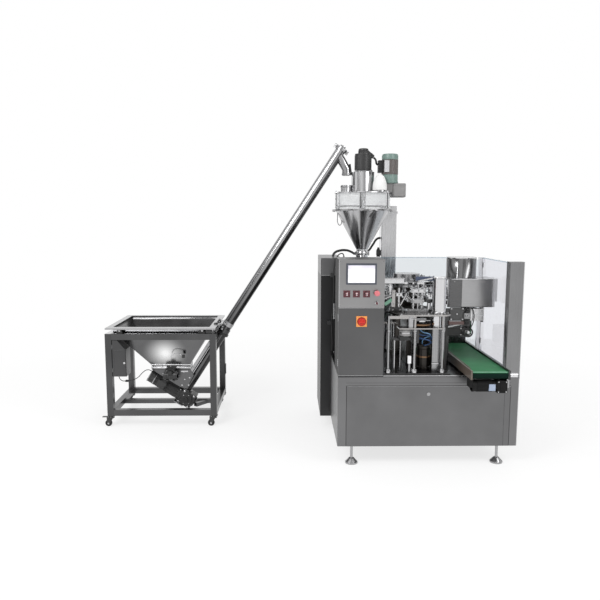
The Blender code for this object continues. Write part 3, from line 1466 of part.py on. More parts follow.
def make_belt_motor():
    ends = BELT_MOTOR_X
    motor = rod("belt_motor", (ends[0], BELT_MOTOR_Y, BELT_MOTOR_Z), (ends[1], BELT_MOTOR_Y, BELT_MOTOR_Z),
                BELT_MOTOR_R, ROUND)
    soften(motor, BELT_HANGER_T / 2)
    y = widened(BELT_MOTOR_Y, BELT_GEAR_HALF)
    z = (BELT_MOTOR_Z - BELT_GEAR_HALF, BELT_MOTOR_Z + BELT_GEAR_HALF)
    join(motor, box("gear_case", BELT_GEAR_X, y, z))
    left = (BELT_X[0] - BELT_CLEAR - RAIL_T, ends[0] + BELT_HANGER_T / 2)
    right = (BELT_GEAR_X[1] - BELT_HANGER_T / 2, BELT_X[1] + BELT_CLEAR + RAIL_T)
    hang_y = inset(y, BELT_HANGER_T)
    for x in (left, right):
        join(motor, box("hanger", x, hang_y, (BELT_MOTOR_Z - BELT_HANGER_T, BELT_HANGER_Z)))
    return finish(motor, BLACK_PLASTIC)


# Turret


def make_turret_stand():
    table = TABLE_Z + GAP
    stand = box("turret_stand", BED_X, BED_Y, (table, table + BED_T))
    profile = [
        (0.0, CROWN_Z[1]),
        (CROWN_R, CROWN_Z[1]),
        (CROWN_R, CROWN_Z[0]),
        (NECK_POST_R, CROWN_Z[0]),
        (NECK_POST_R, STAND_TOP),
        (STAND_R, STAND_TOP),
        (STAND_R, table + BED_T + STAND_FLANGE_T),
        (STAND_FLANGE_R, table + BED_T + STAND_FLANGE_T),
        (STAND_FLANGE_R, table + BED_T / 2),
        (0.0, table + BED_T / 2),
    ]
    join(stand, turned("column", (TURRET_X, TURRET_Y, 0.0), profile, ROUND))
    for x, top in zip(FRONT_POST_XS, (UPPER_PLATE_Z[0], UPPER_PLATE_Z[1] - GAP, UPPER_PLATE_Z[1] - GAP)):
        low = (x, FRONT_POST_Y, table + BED_T / 2)
        join(stand, rod("front_post", low, (x, FRONT_POST_Y, top), FRONT_POST_R, SMALL))
        join(stand, rod("collar", low, (x, FRONT_POST_Y, table + BED_T + COLLAR_H), COLLAR_R))
    join(stand, outline("upper_plate", UPPER_PLATE, UPPER_PLATE_Z))
    join(stand, box("lower_plate", LOWER_PLATE_X, LOWER_PLATE_Y, LOWER_PLATE_Z))
    tie_x = (FRONT_POST_XS[0] - FRONT_POST_R / 2, FRONT_POST_XS[1])
    tie_z = (UPPER_PLATE_Z[0] - TIE_BAR[1], UPPER_PLATE_Z[0] + GAP * 4)
    join(stand, box("tie_bar", tie_x, widened(FRONT_POST_Y, TIE_BAR[0] / 2), tie_z))
    join(stand,
         rod("drum", (DRUM_X, DRUM_Y, UPPER_PLATE_Z[0] + GAP * 4), (DRUM_X, DRUM_Y, DRUM_TOP), DRUM_R,
             ROUND))
    reach = ANVIL_FACE_R - ANVIL_T / 2
    centre = Vector((TURRET_X, TURRET_Y, middle(ANVIL_Z)))
    tangent = UP.cross(SEAL_OUT)
    high = ANVIL_Z[1] - ANVIL_Z[0]
    arm_r = (ANVIL_ARM_START, reach)
    arm_size = (arm_r[1] - arm_r[0], ANVIL_ARM_W, ANVIL_ARM_H)
    axes = (SEAL_OUT, tangent, UP)
    join(stand, block("anvil_arm", centre + SEAL_OUT * middle(arm_r), arm_size, axes))
    join(stand, block("anvil", centre + SEAL_OUT * reach, (ANVIL_T, JAW_W, high), axes))
    return finish(stand, DARK_STEEL)


def station_blocks(name, radial, across, z):
    """The same block at every station, as one helper: spans run out from the turret's axis and across it."""
    bm = bmesh.new()
    for station in range(STATIONS):
        made = bmesh.ops.create_cube(bm, size=1.0)["verts"]
        size = (radial[1] - radial[0], across[1] - across[0], z[1] - z[0])
        bmesh.ops.scale(bm, vec=size, verts=made)
        bmesh.ops.translate(bm, vec=(middle(radial), middle(across), middle(z)), verts=made)
        bmesh.ops.rotate(bm, cent=(0, 0, 0), matrix=Matrix.Rotation(station * math.tau / STATIONS, 3, "Z"),
                         verts=made)
    return add_object(name, mesh_from(name, bm), (TURRET_X, TURRET_Y, 0.0))


def make_grippers(name, z, radius, side, drop_inner, spacer):
    profile = [(radius, z[1]), (radius, z[0]), (RING_BORE_R, z[0]), (RING_BORE_R, z[1])]
    if spacer:
        profile = [(radius, z[1]), (radius, z[0]), (RING_BORE_R, z[0]), (RING_BORE_R, spacer),
                   (SPACER_R, spacer),
                   (SPACER_R, z[1])]
    ring = turned(name, (TURRET_X, TURRET_Y, 0.0), profile, FINE, True)
    line = side * POUCH_HALF
    radial = (drop_inner, drop_inner + DROP_D)
    join(ring,
         station_blocks("drops", radial, widened(line, DROP_W / 2), (FINGER_Z[0] + GAP * 4, middle(z))))
    join(ring,
         station_blocks("fingers", (radial[0] - GAP * 4, FINGER_TIP_R), widened(line, FINGER_T / 2),
                        FINGER_Z))
    return finish(ring, CHROME)


# Sealing station and its hood


def make_sealing_station():
    table = TABLE_Z + GAP
    station = box("sealing_station", STATION_POST_X, STATION_POST_Y, (table, STATION_ARM_Z[1] - GAP * 4))
    arm_y = inset(STATION_POST_Y, GAP * 4)
    join(station, box("arm", (STATION_POST_X[0] + GAP * 4, STATION_ARM_X), arm_y, STATION_ARM_Z))
    hood_seat = HOOD_Z[1] - HOOD_SHEET - GAP
    join(station,
         box("riser", (RISER_X, STATION_ARM_X - GAP * 4), inset(arm_y, GAP * 4),
             (STATION_ARM_Z[0] + GAP * 4, hood_seat)))
    pedestal_y = (arm_y[0] + GAP * 4, PEDESTAL_Y)
    join(station, box("pedestal", PEDESTAL_X, pedestal_y, inset(STATION_ARM_Z, GAP * 4)))
    wheel_z = (WHEEL_BLOCK_Z, STATION_ARM_Z[0] + BELT_CLEAR)
    join(station, box("wheel_block", WHEEL_BLOCK_X, inset(arm_y, GAP * 4), wheel_z))
    tangent = UP.cross(SEAL_OUT)
    middle_z = middle(JAW_HOUSING_Z)
    centre = Vector((TURRET_X, TURRET_Y, middle_z)) + SEAL_OUT * JAW_HOUSING_R
    size = (JAW_HOUSING_T, JAW_HOUSING_W, JAW_HOUSING_Z[1] - JAW_HOUSING_Z[0])
    join(station, block("jaw_housing", centre, size, (SEAL_OUT, tangent, UP)))
    for start, end in jaw_rods(JAW_HOUSING_R - JAW_HOUSING_T, JAW_HOUSING_R + JAW_HOUSING_T):
        cut(station, rod("jaw_bore", start, end, JAW_ROD_BORE, MEDIUM))
    shaft_ends = ((WHEEL_X, STATION_POST_Y[0] - BELT_CLEAR, WHEEL_Z),
                  (WHEEL_X, STATION_POST_Y[1] + BELT_CLEAR, WHEEL_Z))
    cut(station, rod("wheel_bore", *shaft_ends, HANDWHEEL_BORE, SMALL))
    return finish(station, DARK_STEEL)


def jaw_rods(inner, outer):
    """Ends of the two guide rods of the jaw between two distances from the turret's axis."""
    tangent = UP.cross(SEAL_OUT)
    centre = Vector((TURRET_X, TURRET_Y, middle(ANVIL_Z)))
    return [
        (centre + SEAL_OUT * inner + tangent * offset, centre + SEAL_OUT * outer + tangent * offset)
        for offset in (-JAW_ROD_OFFSET, JAW_ROD_OFFSET)
    ]


def make_seal_jaw():
    tangent = UP.cross(SEAL_OUT)
    centre = Vector((TURRET_X, TURRET_Y, middle(ANVIL_Z))) + SEAL_OUT * (JAW_OPEN_R + JAW_T / 2)
    jaw = block("seal_jaw", centre, (JAW_T, JAW_W, ANVIL_Z[1] - ANVIL_Z[0]), (SEAL_OUT, tangent, UP))
    for start, end in jaw_rods(JAW_OPEN_R + JAW_T / 2, JAW_ROD_END):
        join(jaw, rod("guide", start, end, JAW_ROD_R, MEDIUM))
    return finish(jaw, BRUSHED)


def make_handwheel():
    face = STATION_POST_Y[0] - HANDWHEEL_OUT
    profile = [
        (HANDWHEEL_R + HANDWHEEL_RIM_R * math.cos(a), HANDWHEEL_RIM_R * math.sin(a))
        for a in (-step * math.tau / 8 for step in range(8))
    ]
    wheel = turned("handwheel", (WHEEL_X, face, WHEEL_Z), profile, MEDIUM, True)
    wheel.rotation_euler.x = math.pi / 2
    join(wheel,
         front_disc("hub", WHEEL_X, WHEEL_Z, HANDWHEEL_HUB_R,
                    (face - HANDWHEEL_RIM_R, face + HANDWHEEL_RIM_R * 2)))
    join(wheel,
         front_disc("wheel_shaft", WHEEL_X, WHEEL_Z, HANDWHEEL_SHAFT_R, (face, STATION_POST_Y[1]), SMALL))
    for spoke in range(3):
        angle = math.tau * spoke / 3 + math.pi / 2
        ahead = Vector((math.cos(angle), 0.0, math.sin(angle)))
        centre = Vector((WHEEL_X, face, WHEEL_Z))
        join(wheel,
             rod("spoke", centre + ahead * HANDWHEEL_SHAFT_R, centre + ahead * HANDWHEEL_R,
                 HANDWHEEL_RIM_R * 0.7, TINY))
    return finish(wheel, BLACK_PLASTIC)


def make_sealing_hood():
    hood = outline("sealing_hood", rounded_front(HOOD_X, HOOD_Y, HOOD_CORNER), HOOD_Z)
    side = box("hood_side", (HOOD_X[1] - HOOD_CORNER, HOOD_SIDE_X), HOOD_SIDE_Y, HOOD_SIDE_Z)
    duct = rod("duct", (DUCT_X, DUCT_Y, HOOD_Z[1] - HOOD_SHEET / 2), (DUCT_X, DUCT_Y, DUCT_TOP), DUCT_R,
               ROUND)
    join(hood, side, duct)
    skin = HOOD_SHEET
    room = rounded_front(inset(HOOD_X, skin), (HOOD_Y[0] + skin, HOOD_Y[1] - skin), HOOD_CORNER - skin)
    cut(hood, outline("hood_room", room, (HOOD_Z[0] - skin * 2, HOOD_Z[1] - skin)))
    side_room_x = (HOOD_X[1] - HOOD_CORNER, HOOD_SIDE_X - skin)
    side_room_z = (HOOD_Z[0] - skin, HOOD_SIDE_Z[1] - skin)
    cut(hood, box("side_room", side_room_x, inset(HOOD_SIDE_Y, skin), side_room_z))
    cut(hood,
        rod("duct_bore", (DUCT_X, DUCT_Y, HOOD_Z[1] - skin * 4), (DUCT_X, DUCT_Y, DUCT_TOP + skin * 4),
            DUCT_R - skin, ROUND))
    sweep = ((TURRET_X, TURRET_Y, HOOD_Z[0] - skin * 4), (TURRET_X, TURRET_Y, HOOD_SWEEP_TOP))
    cut(hood, rod("sweep", *sweep, HOOD_SWEEP_R, FINE))
    return finish(hood, BRUSHED)


def make_all():
    make_feeder_frame()
    make_front_caster("caster_fork_front_left", LEFT_RAIL, True)
    make_front_caster("caster_fork_front_right", RIGHT_RAIL, False)
    for row, rail in (("front", NEAR_RAIL), ("rear", FAR_RAIL)):
        for hand, side in (("left", LEFT_RAIL), ("right", RIGHT_RAIL)):
            make_caster_wheel(f"caster_wheel_{row}_{hand}", middle(side) - CASTER_TRAIL, middle(rail))
    make_feeder_hopper()
    make_control_box()
    make_feeder_cable()
    make_cable_switch()
    make_vibrator()
    make_conveyor_tube()
    make_tube_cap()
    make_conveyor_screw()
    make_feeder_gearmotor()
    make_base()
    make_table()
    make_front_panel()
    make_latch()
    make_levelling_foot("levelling_foot_front_left", FOOT_X[0], FOOT_Y[0])
    make_levelling_foot("levelling_foot_front_right", FOOT_X[1], FOOT_Y[0])
    make_levelling_foot("levelling_foot_rear_left", FOOT_CORNER, FOOT_Y[1])
    make_levelling_foot("levelling_foot_rear_right", FOOT_X[1], FOOT_Y[1])
    make_windows()
    make_electrical_cabinet()
    make_control_cabinet()
    make_control_panel()
    make_cabinet_door()
    make_touch_screen()
    for hand, x in zip(("left", "middle", "right"), SELECTOR_X):
        face = -SELECTOR_PLATE_T - GAP
        make_knob(f"selector_switch_{hand}", x, SELECTOR_Z, face, SELECTOR_R, SELECTOR_KNOB_T,
                  SELECTOR_GRIP, DARK_RED)
    make_emergency_stop()
    make_knob("key_switch", KEY_X, KEY_Z, -KEY_T - GAP, KEY_KNOB_R, KEY_KNOB_T, KEY_BLADE, CHROME)
    make_knob("main_switch", MAIN_X, MAIN_Z, -MAIN_PLATE_T - GAP, MAIN_R, MAIN_KNOB_T, MAIN_GRIP, RED)
    make_filler_column()
    make_filler_hopper()
    make_hopper_window()
    make_hopper_lid()
    make_servo_motor()
    make_agitator_gearmotor()
    make_breather_sock()
    make_dosing_screw()
    make_agitator()
    finish(wire("filler_cable", flowing(FILLER_CABLE, 3), FILLER_CABLE_R), RUBBER)
    finish(wire("motor_cable", flowing(MOTOR_CABLE, 4), MOTOR_CABLE_R), RUBBER)
    make_belt()
    make_belt_frame()
    make_roller("drive_roller", ROLLER_FRONT_Y, True)
    make_roller("tail_roller", ROLLER_BACK_Y, False)
    make_belt_motor()
    make_turret_stand()
    make_grippers("left_grippers", LEFT_RING_Z, LEFT_RING_R, 1, LEFT_DROP_R, None)
    make_grippers("right_grippers", RIGHT_RING_Z, RIGHT_RING_R, -1, RIGHT_DROP_R,
                  LEFT_RING_Z[0] - GAP)
    make_sealing_station()
    make_seal_jaw()
    make_handwheel()
    make_sealing_hood()


make_all()
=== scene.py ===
"""Looks of a powder pouch packing machine with its screw feeder and auger filler.

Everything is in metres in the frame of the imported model. Places on the machine are measured from
the front left corner of its base, at floor level: X to the right, Y away from the operator, Z up.
"""

import json
import math

import bmesh
import bpy
from mathutils import Matrix, Vector

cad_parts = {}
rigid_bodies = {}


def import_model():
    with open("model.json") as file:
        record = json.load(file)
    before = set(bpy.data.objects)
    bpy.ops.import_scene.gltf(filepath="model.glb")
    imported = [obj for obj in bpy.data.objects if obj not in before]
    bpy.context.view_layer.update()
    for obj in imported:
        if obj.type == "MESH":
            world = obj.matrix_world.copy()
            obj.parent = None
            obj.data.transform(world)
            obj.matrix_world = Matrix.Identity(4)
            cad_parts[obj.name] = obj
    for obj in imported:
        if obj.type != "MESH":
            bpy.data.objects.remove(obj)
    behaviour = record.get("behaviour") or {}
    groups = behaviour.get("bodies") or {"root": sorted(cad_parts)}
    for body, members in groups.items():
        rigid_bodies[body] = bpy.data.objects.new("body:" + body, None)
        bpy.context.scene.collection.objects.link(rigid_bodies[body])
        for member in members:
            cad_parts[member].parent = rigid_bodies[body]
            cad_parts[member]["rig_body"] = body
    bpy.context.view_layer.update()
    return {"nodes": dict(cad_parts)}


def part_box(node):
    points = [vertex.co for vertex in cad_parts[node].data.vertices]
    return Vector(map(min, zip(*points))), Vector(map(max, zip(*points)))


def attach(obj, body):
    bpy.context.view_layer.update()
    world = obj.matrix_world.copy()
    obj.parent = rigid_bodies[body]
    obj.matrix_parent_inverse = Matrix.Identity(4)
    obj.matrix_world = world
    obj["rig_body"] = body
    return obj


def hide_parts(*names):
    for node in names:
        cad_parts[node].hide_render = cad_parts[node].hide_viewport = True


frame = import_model()

NODES = frame["nodes"]
BASE_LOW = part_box("base_cabinet")[0]
CORNER = Vector((BASE_LOW.x, BASE_LOW.y, 0.0))
UP = Vector((0.0, 0.0, 1.0))
FRONT = Vector((0.0, -1.0, 0.0))
RIGHT = Vector((1.0, 0.0, 0.0))


def at(x, y, z):
    """A point given from the front left corner of the base."""
    return CORNER + Vector((x, y, z))


# Camera, in the photograph's place: its lens suits a square picture
CAMERA_PLACE = (-0.0156, -5.3788, 1.8928)
CAMERA_LENS = 36.52
CAMERA_SENSOR = 36.0
CAMERA_DOWN = math.radians(7.135)
CAMERA_RIGHT = math.radians(0.985)
CAMERA_ROLL = math.radians(0.107)


def make_camera():
    data = bpy.data.cameras.new("front_camera")
    data.lens = CAMERA_LENS
    data.sensor_width = CAMERA_SENSOR
    camera = bpy.data.objects.new("front_camera", data)
    bpy.context.scene.collection.objects.link(camera)
    turn = Matrix.Rotation(-CAMERA_RIGHT, 4, "Z")
    tilt = Matrix.Rotation(math.pi / 2 - CAMERA_DOWN, 4, "X")
    roll = Matrix.Rotation(CAMERA_ROLL, 4, "Z")
    camera.matrix_world = Matrix.Translation(CAMERA_PLACE) @ turn @ tilt @ roll
    bpy.context.scene.camera = camera


make_camera()


# Shader nodes

def added(tree, kind, **settings):
    """A new shader node with its settings."""
    node = tree.nodes.new(kind)
    for name, value in settings.items():
        setattr(node, name, value)
    return node


def linked_math(tree, operation, *values):
    """The result of a Math node fed by other nodes."""
    node = added(tree, "ShaderNodeMath", operation=operation)
    for value, socket in zip(values, node.inputs):
        tree.links.new(value, socket)
    return node.outputs[0]


def glowing(tree, kind, strength):
    """A white emitter or background of a strength."""
    node = added(tree, kind)
    node.inputs["Color"].default_value = (1.0, 1.0, 1.0, 1.0)
    node.inputs["Strength"].default_value = strength
    return node


def mixed(tree, factor, first, second):
    """Two shaders in one, by the factor."""
    node = added(tree, "ShaderNodeMixShader")
    tree.links.new(factor, node.inputs["Fac"])
    tree.links.new(first, node.inputs[1])
    tree.links.new(second, node.inputs[2])
    return node.outputs[0]


def seen_directly(tree, ray):
    """1 for what the camera sees itself or through clear sheet."""
    return linked_math(tree, "MAXIMUM", ray.outputs["Is Camera Ray"], ray.outputs["Is Transmission Ray"])


def blank_material(name):
    """A material with its Principled shader, and the reader of places on the piece."""
    material = bpy.data.materials.new(name)
    material.use_nodes = True
    shader = material.node_tree.nodes["Principled BSDF"]
    place = added(material.node_tree, "ShaderNodeTexCoord")
    return material, shader, place.outputs["Object"]


def stretched(material, place, scale, turn=(0.0, 0.0, 0.0)):
    """Places scaled unevenly, so that a pattern runs along one way."""
    mapping = added(material.node_tree, "ShaderNodeMapping")
    mapping.inputs["Scale"].default_value = scale
    mapping.inputs["Rotation"].default_value = turn
    material.node_tree.links.new(place, mapping.inputs["Vector"])
    return mapping.outputs["Vector"]


def noise(material, place, scale, detail=4.0, roughness=0.5):
    node = added(material.node_tree, "ShaderNodeTexNoise")
    node.inputs["Scale"].default_value = scale
    node.inputs["Detail"].default_value = detail
    node.inputs["Roughness"].default_value = roughness
    material.node_tree.links.new(place, node.inputs["Vector"])
    return node.outputs["Fac"]


def ramp(material, value, stops):
    """A colour for each value: stops are (value, colour)."""
    node = added(material.node_tree, "ShaderNodeValToRGB")
    elements = node.color_ramp.elements
    while len(elements) < len(stops):
        elements.new(0.5)
    for element, (position, colour) in zip(elements, stops):
        element.position = position
        element.color = (*colour, 1.0)
    material.node_tree.links.new(value, node.inputs["Fac"])
    return node.outputs["Color"]


def ranged(material, value, low, high, start=0.3, end=0.7):
    node = added(material.node_tree, "ShaderNodeMapRange")
    node.inputs["From Min"].default_value = start
    node.inputs["From Max"].default_value = end
    node.inputs["To Min"].default_value = low
    node.inputs["To Max"].default_value = high
    material.node_tree.links.new(value, node.inputs["Value"])
    return node.outputs["Result"]


def blended(material, first, second, mode="MIX", factor=None):
    """Two colours in one: by the factor, or in full where none is given."""
    node = added(material.node_tree, "ShaderNodeMix", data_type="RGBA", blend_type=mode)
    links = material.node_tree.links
    node.inputs["Factor"].default_value = 1.0
    if factor:
        links.new(factor, node.inputs["Factor"])
    links.new(first, node.inputs[6])
    links.new(second, node.inputs[7])
    return node.outputs[2]


def bumped(material, shader, height, strength, distance=0.001):
    node = added(material.node_tree, "ShaderNodeBump")
    node.inputs["Strength"].default_value = strength
    node.inputs["Distance"].default_value = distance
    material.node_tree.links.new(height, node.inputs["Height"])
    material.node_tree.links.new(node.outputs["Normal"], shader.inputs["Normal"])
    return node


def shade_of(colour, share):
    return tuple(channel * share for channel in colour)


# Finishes

GRAIN_ALONG = {"X": (3.0, 420.0, 420.0), "Z": (420.0, 420.0, 3.0)}
# Size and falloff of the painted highlight
PAINTED_HIGHLIGHT_CORE = 0.040
PAINTED_HIGHLIGHT_FALL = 1.9
UNSCALED = (1.0, 1.0, 1.0)


def scaled_colour(material, colour, share):
    """The colour, darkened by a share that varies over the piece."""
    node = added(material.node_tree, "ShaderNodeVectorMath", operation="SCALE")
    material.node_tree.links.new(colour, node.inputs[0])
    material.node_tree.links.new(share, node.inputs["Scale"])
    return node.outputs[0]


def brushed_steel(name, colour, rough, along="Z", cloud=0.08, grain=0.06, waves=0.0, lean=0.0, ridge=0.10,
                  painted_foot_shade=None, painted_highlight=None):
    """Sheet ground along one way, with slow clouds of duller metal, and the soft waves of thin sheet.

    The first optional tuple, (low, high, share), is painted shade that darkens the metal towards its foot;
    the second, (place, reach), is a painted highlight that turns the colour near white round that place.
    """
    material, shader, place = blank_material(name)
    links = material.node_tree.links
    straight = stretched(material, place, UNSCALED, (0.0, lean, 0.0))
    lines = noise(material, stretched(material, straight, GRAIN_ALONG[along]), 1.0, 3.0, 0.6)
    clouds = noise(material, place, 2.3, 3.0, 0.55)
    tone = ramp(
        material, clouds, ((0.25, shade_of(colour, 1.0 - cloud)), (0.75, shade_of(colour, 1.0 + cloud)))
    )
    # painted shade: the colour is darkened towards the foot of the piece
    if painted_foot_shade:
        low, high, share = painted_foot_shade
        parts = added(material.node_tree, "ShaderNodeSeparateXYZ")
        links.new(place, parts.inputs[0])
        height = ranged(material, parts.outputs["Z"], share, 1.0, low, high)
        tone = scaled_colour(material, tone, height)
    # painted highlight: the colour is blended to near white round one place
    if painted_highlight:
        centre, span = painted_highlight
        reach = added(material.node_tree, "ShaderNodeVectorMath", operation="DISTANCE")
        reach.inputs[1].default_value = at(*centre)
        links.new(place, reach.inputs[0])
        near = ranged(material, reach.outputs["Value"], 1.0, 0.0, PAINTED_HIGHLIGHT_CORE, span)
        soft = added(material.node_tree, "ShaderNodeMath", operation="POWER")
        soft.inputs[1].default_value = PAINTED_HIGHLIGHT_FALL
        links.new(near, soft.inputs[0])
        bright = ramp(material, clouds, ((0.25, (0.98,) * 3), (0.75, (1.0,) * 3)))
        tone = blended(material, tone, bright, factor=soft.outputs[0])
    streak = ramp(material, lines, ((0.2, (1.0 - grain,) * 3), (0.8, (1.0, 1.0, 1.0))))
    links.new(blended(material, tone, streak, "MULTIPLY"), shader.inputs["Base Color"])
    links.new(ranged(material, lines, rough - 0.05, rough + 0.06), shader.inputs["Roughness"])
    shader.inputs["Metallic"].default_value = 1.0
    fine = bumped(material, shader, lines, ridge, 0.0004)
    if waves:
        slow = added(material.node_tree, "ShaderNodeBump")
        slow.inputs["Strength"].default_value = 1.0
        slow.inputs["Distance"].default_value = waves
        links.new(noise(material, place, 3.4, 1.0, 0.4), slow.inputs["Height"])
        links.new(slow.outputs["Normal"], fine.inputs["Normal"])
    return material


def polished_steel(name, colour, rough):
    """Turned or polished metal with faint handling marks."""
    material, shader, place = blank_material(name)
    links = material.node_tree.links
    marks = noise(material, place, 46.0, 5.0, 0.6)
    tone = ramp(material, marks, ((0.3, shade_of(colour, 0.90)), (0.7, colour)))
    links.new(tone, shader.inputs["Base Color"])
    links.new(ranged(material, marks, rough * 0.7, rough * 1.5), shader.inputs["Roughness"])
    shader.inputs["Metallic"].default_value = 1.0
    bumped(material, shader, marks, 0.03, 0.0004)
    return material


def moulded_plastic(name, colour, rough, grain_scale=420.0, glow=0.0, gloss=0.5):
    """Moulded plastic or rubber: even colour, a fine leather-like grain and slightly dusty hollows."""
    material, shader, place = blank_material(name)
    links = material.node_tree.links
    grain = noise(material, place, grain_scale, 2.0, 0.5)
    dust = noise(material, place, 9.0, 4.0, 0.6)
    tone = ramp(material, dust, ((0.35, shade_of(colour, 0.88)), (0.75, shade_of(colour, 1.12))))
    links.new(tone, shader.inputs["Base Color"])
    links.new(ranged(material, grain, rough - 0.06, rough + 0.08), shader.inputs["Roughness"])
    shader.inputs["Specular IOR Level"].default_value = gloss
    if glow:
        links.new(tone, shader.inputs["Emission Color"])
        shader.inputs["Emission Strength"].default_value = glow
    bumped(material, shader, grain, 0.18, 0.0003)
    return material


def machine_paint(name, colour, rough):
    """Stoved paint on a casting: orange-peel skin and small lighter specks."""
    material, shader, place = blank_material(name)
    links = material.node_tree.links
    peel = noise(material, place, 260.0, 2.0, 0.5)
    wear = noise(material, place, 30.0, 6.0, 0.65)
    tone = ramp(
        material, wear,
        ((0.0, shade_of(colour, 0.85)), (0.55, colour), (0.72, shade_of(colour, 1.25))),
    )
    links.new(tone, shader.inputs["Base Color"])
    links.new(ranged(material, wear, rough - 0.08, rough + 0.1), shader.inputs["Roughness"])
    shader.inputs["Coat Weight"].default_value = 0.25
    shader.inputs["Coat Roughness"].default_value = 0.25
    bumped(material, shader, peel, 0.22, 0.0004)
    return material


def clear_sheet(name, tint, rough=0.02, clear=1.0):
    """Clear acrylic: see-through, with a cool tint and the faintest scuffs."""
    material, shader, place = blank_material(name)
    links = material.node_tree.links
    scuffs = noise(material, place, 60.0, 6.0, 0.7)
    tone = ramp(material, scuffs, ((0.3, shade_of(tint, 0.985)), (0.7, tint)))
    links.new(tone, shader.inputs["Base Color"])
    links.new(ranged(material, scuffs, rough, rough + 0.05, 0.4, 0.8), shader.inputs["Roughness"])
    shader.inputs["IOR"].default_value = 1.2
    shader.inputs["Transmission Weight"].default_value = clear
    bumped(material, shader, scuffs, 0.01, 0.0005)
    return material


def grey(tone, warm=0.0):
    return (tone * (1.0 + warm), tone, tone * (1.015 - warm))


TUBE_LEAN = math.radians(-33.08)
PANEL = brushed_steel("brushed_panel", grey(0.210), 0.36, "X")
PANEL_UPRIGHT = brushed_steel("brushed_panel_upright", grey(0.185), 0.34, "Z")
POST_STEEL = brushed_steel("guard_post_steel", grey(0.275), 0.30, "Z", 0.14)
# painted light: a much lighter copy of the post steel for the rear posts
REAR_POST_LIT = brushed_steel("rear_post_painted_light", grey(0.86), 0.30, "Z", 0.05)
FRONT_PANEL = brushed_steel("front_panel_steel", grey(0.180), 0.34, "X", 0.14)
CABINET = brushed_steel("brushed_cabinet", grey(0.150), 0.34, "X")
CONTROL_PANEL = brushed_steel("control_panel_steel", grey(0.345, 0.01), 0.34, "X")
# painted shade: a darker copy of the cabinet steel for its left side
CABINET_SIDE_SHADE = brushed_steel("cabinet_side_painted_shade", grey(0.045), 0.58, "Z")
CABINET_DOOR = brushed_steel("cabinet_door_steel", grey(0.138), 0.36, "X")
ELECTRIC_STEEL = brushed_steel("electric_cabinet_steel", grey(0.050), 0.36, "Z")
ELECTRIC_TOP = brushed_steel("electric_cabinet_top", grey(0.20), 0.34, "Z")
COLUMN_STEEL = brushed_steel("column_steel", grey(0.76), 0.26, "Z", 0.12)
DARK_SHEET = brushed_steel("shaded_sheet", grey(0.085), 0.28, "Z")
FRAME_STEEL = brushed_steel("frame_tube", grey(0.095), 0.30, "Z", 0.16)
FRAME_STEEL_X = brushed_steel("frame_tube_flat", grey(0.110), 0.28, "X", 0.20)
BOX_STEEL = brushed_steel("feeder_box_steel", grey(0.095), 0.34, "Z")
# Hopper sheet with a painted highlight on its front wall
HOPPER_STEEL = brushed_steel("hopper_sheet_painted_highlight", grey(0.150), 0.20, "X", 0.20, waves=0.012,
                             painted_highlight=((-1.555, 1.078, 0.652), 0.23))
# painted shade: a darker copy of the hopper sheet for its inside faces
HOPPER_INSIDE_SHADE = brushed_steel("hopper_inside_painted_shade", grey(0.120), 0.24, "X", 0.30, waves=0.020)
RIM_STEEL = polished_steel("hopper_rim", grey(0.46), 0.22)
CONE_STEEL = brushed_steel("cone_sheet", grey(0.50), 0.18, "Z", 0.10, waves=0.004)
LID_STEEL = brushed_steel("lid_sheet", grey(0.58), 0.22, "X")
# Tube steel with painted shade: its colour darker towards the tube's foot
TUBE_STEEL = brushed_steel("tube_steel_painted_foot_shade", grey(0.55), 0.20, "Z", lean=TUBE_LEAN, ridge=0.001,
                           painted_foot_shade=(0.95, 1.90, 0.24))
# painted shade: a darker copy of the tube steel for the faces turned down and away, also darker towards the
# foot
TUBE_UNDERSIDE_SHADE = brushed_steel("tube_underside_painted_shade", grey(0.115), 0.30, "Z", lean=TUBE_LEAN, ridge=0.001,
                           painted_foot_shade=(0.95, 2.40, 0.45))
BOOT_STEEL = brushed_steel("boot_steel", grey(0.15), 0.30, "Z", lean=TUBE_LEAN, ridge=0.006)
SPOUT_STEEL = brushed_steel("spout_steel", grey(0.34), 0.24, "Z", ridge=0.005)
HOOD_STEEL = brushed_steel("hood_sheet", grey(0.42), 0.22, "X", waves=0.004)
# painted shade: a darker copy of the hood sheet for the left part of its front
HOOD_SHADE = brushed_steel("hood_painted_shade", grey(0.150), 0.28, "X", waves=0.004)
HOOD_SIDE = brushed_steel("hood_side_box", grey(0.56), 0.28, "Z")
DUCT_STEEL = brushed_steel("duct_sheet", grey(0.205), 0.24, "Z", ridge=0.01)
DRUM_STEEL = brushed_steel("drum_steel", grey(0.70), 0.16, "Z")
STAY_STEEL = brushed_steel("stay_steel", grey(0.38), 0.24, "Z")
COLUMN_BROWN = brushed_steel("dark_column", grey(0.058, 0.08), 0.30, "Z", 0.25, 0.35)
BRIGHT = polished_steel("bright_steel", grey(0.62), 0.14)
CHROME = polished_steel("chrome", grey(0.66), 0.07)
RING_STEEL = polished_steel("ring_steel", grey(0.52), 0.12)
EDGE_STEEL = polished_steel("bright_edge", grey(0.80), 0.18)
PALE_STEEL = polished_steel("pale_steel", grey(0.80), 0.26)
PLATE_STEEL = polished_steel("plate_steel", grey(0.46, 0.03), 0.20)
TURNED = polished_steel("turned_steel", grey(0.42), 0.24)
ALUMINIUM = polished_steel("cast_aluminium", grey(0.50), 0.38)
POST_ROD = polished_steel("post_rod", grey(0.40), 0.18)
DARK_ROD = polished_steel("dark_steel", grey(0.085), 0.26)
BRONZE = polished_steel("bronze", (0.24, 0.15, 0.09), 0.28)
CASTER_BLACK = machine_paint("caster_black", grey(0.022), 0.38)
BLACK = moulded_plastic("black_plastic", grey(0.022), 0.42)
RUBBER = moulded_plastic("black_rubber", grey(0.014), 0.68, 600.0)
CORD_BLACK = moulded_plastic("cord_black", grey(0.016), 0.50, 900.0)
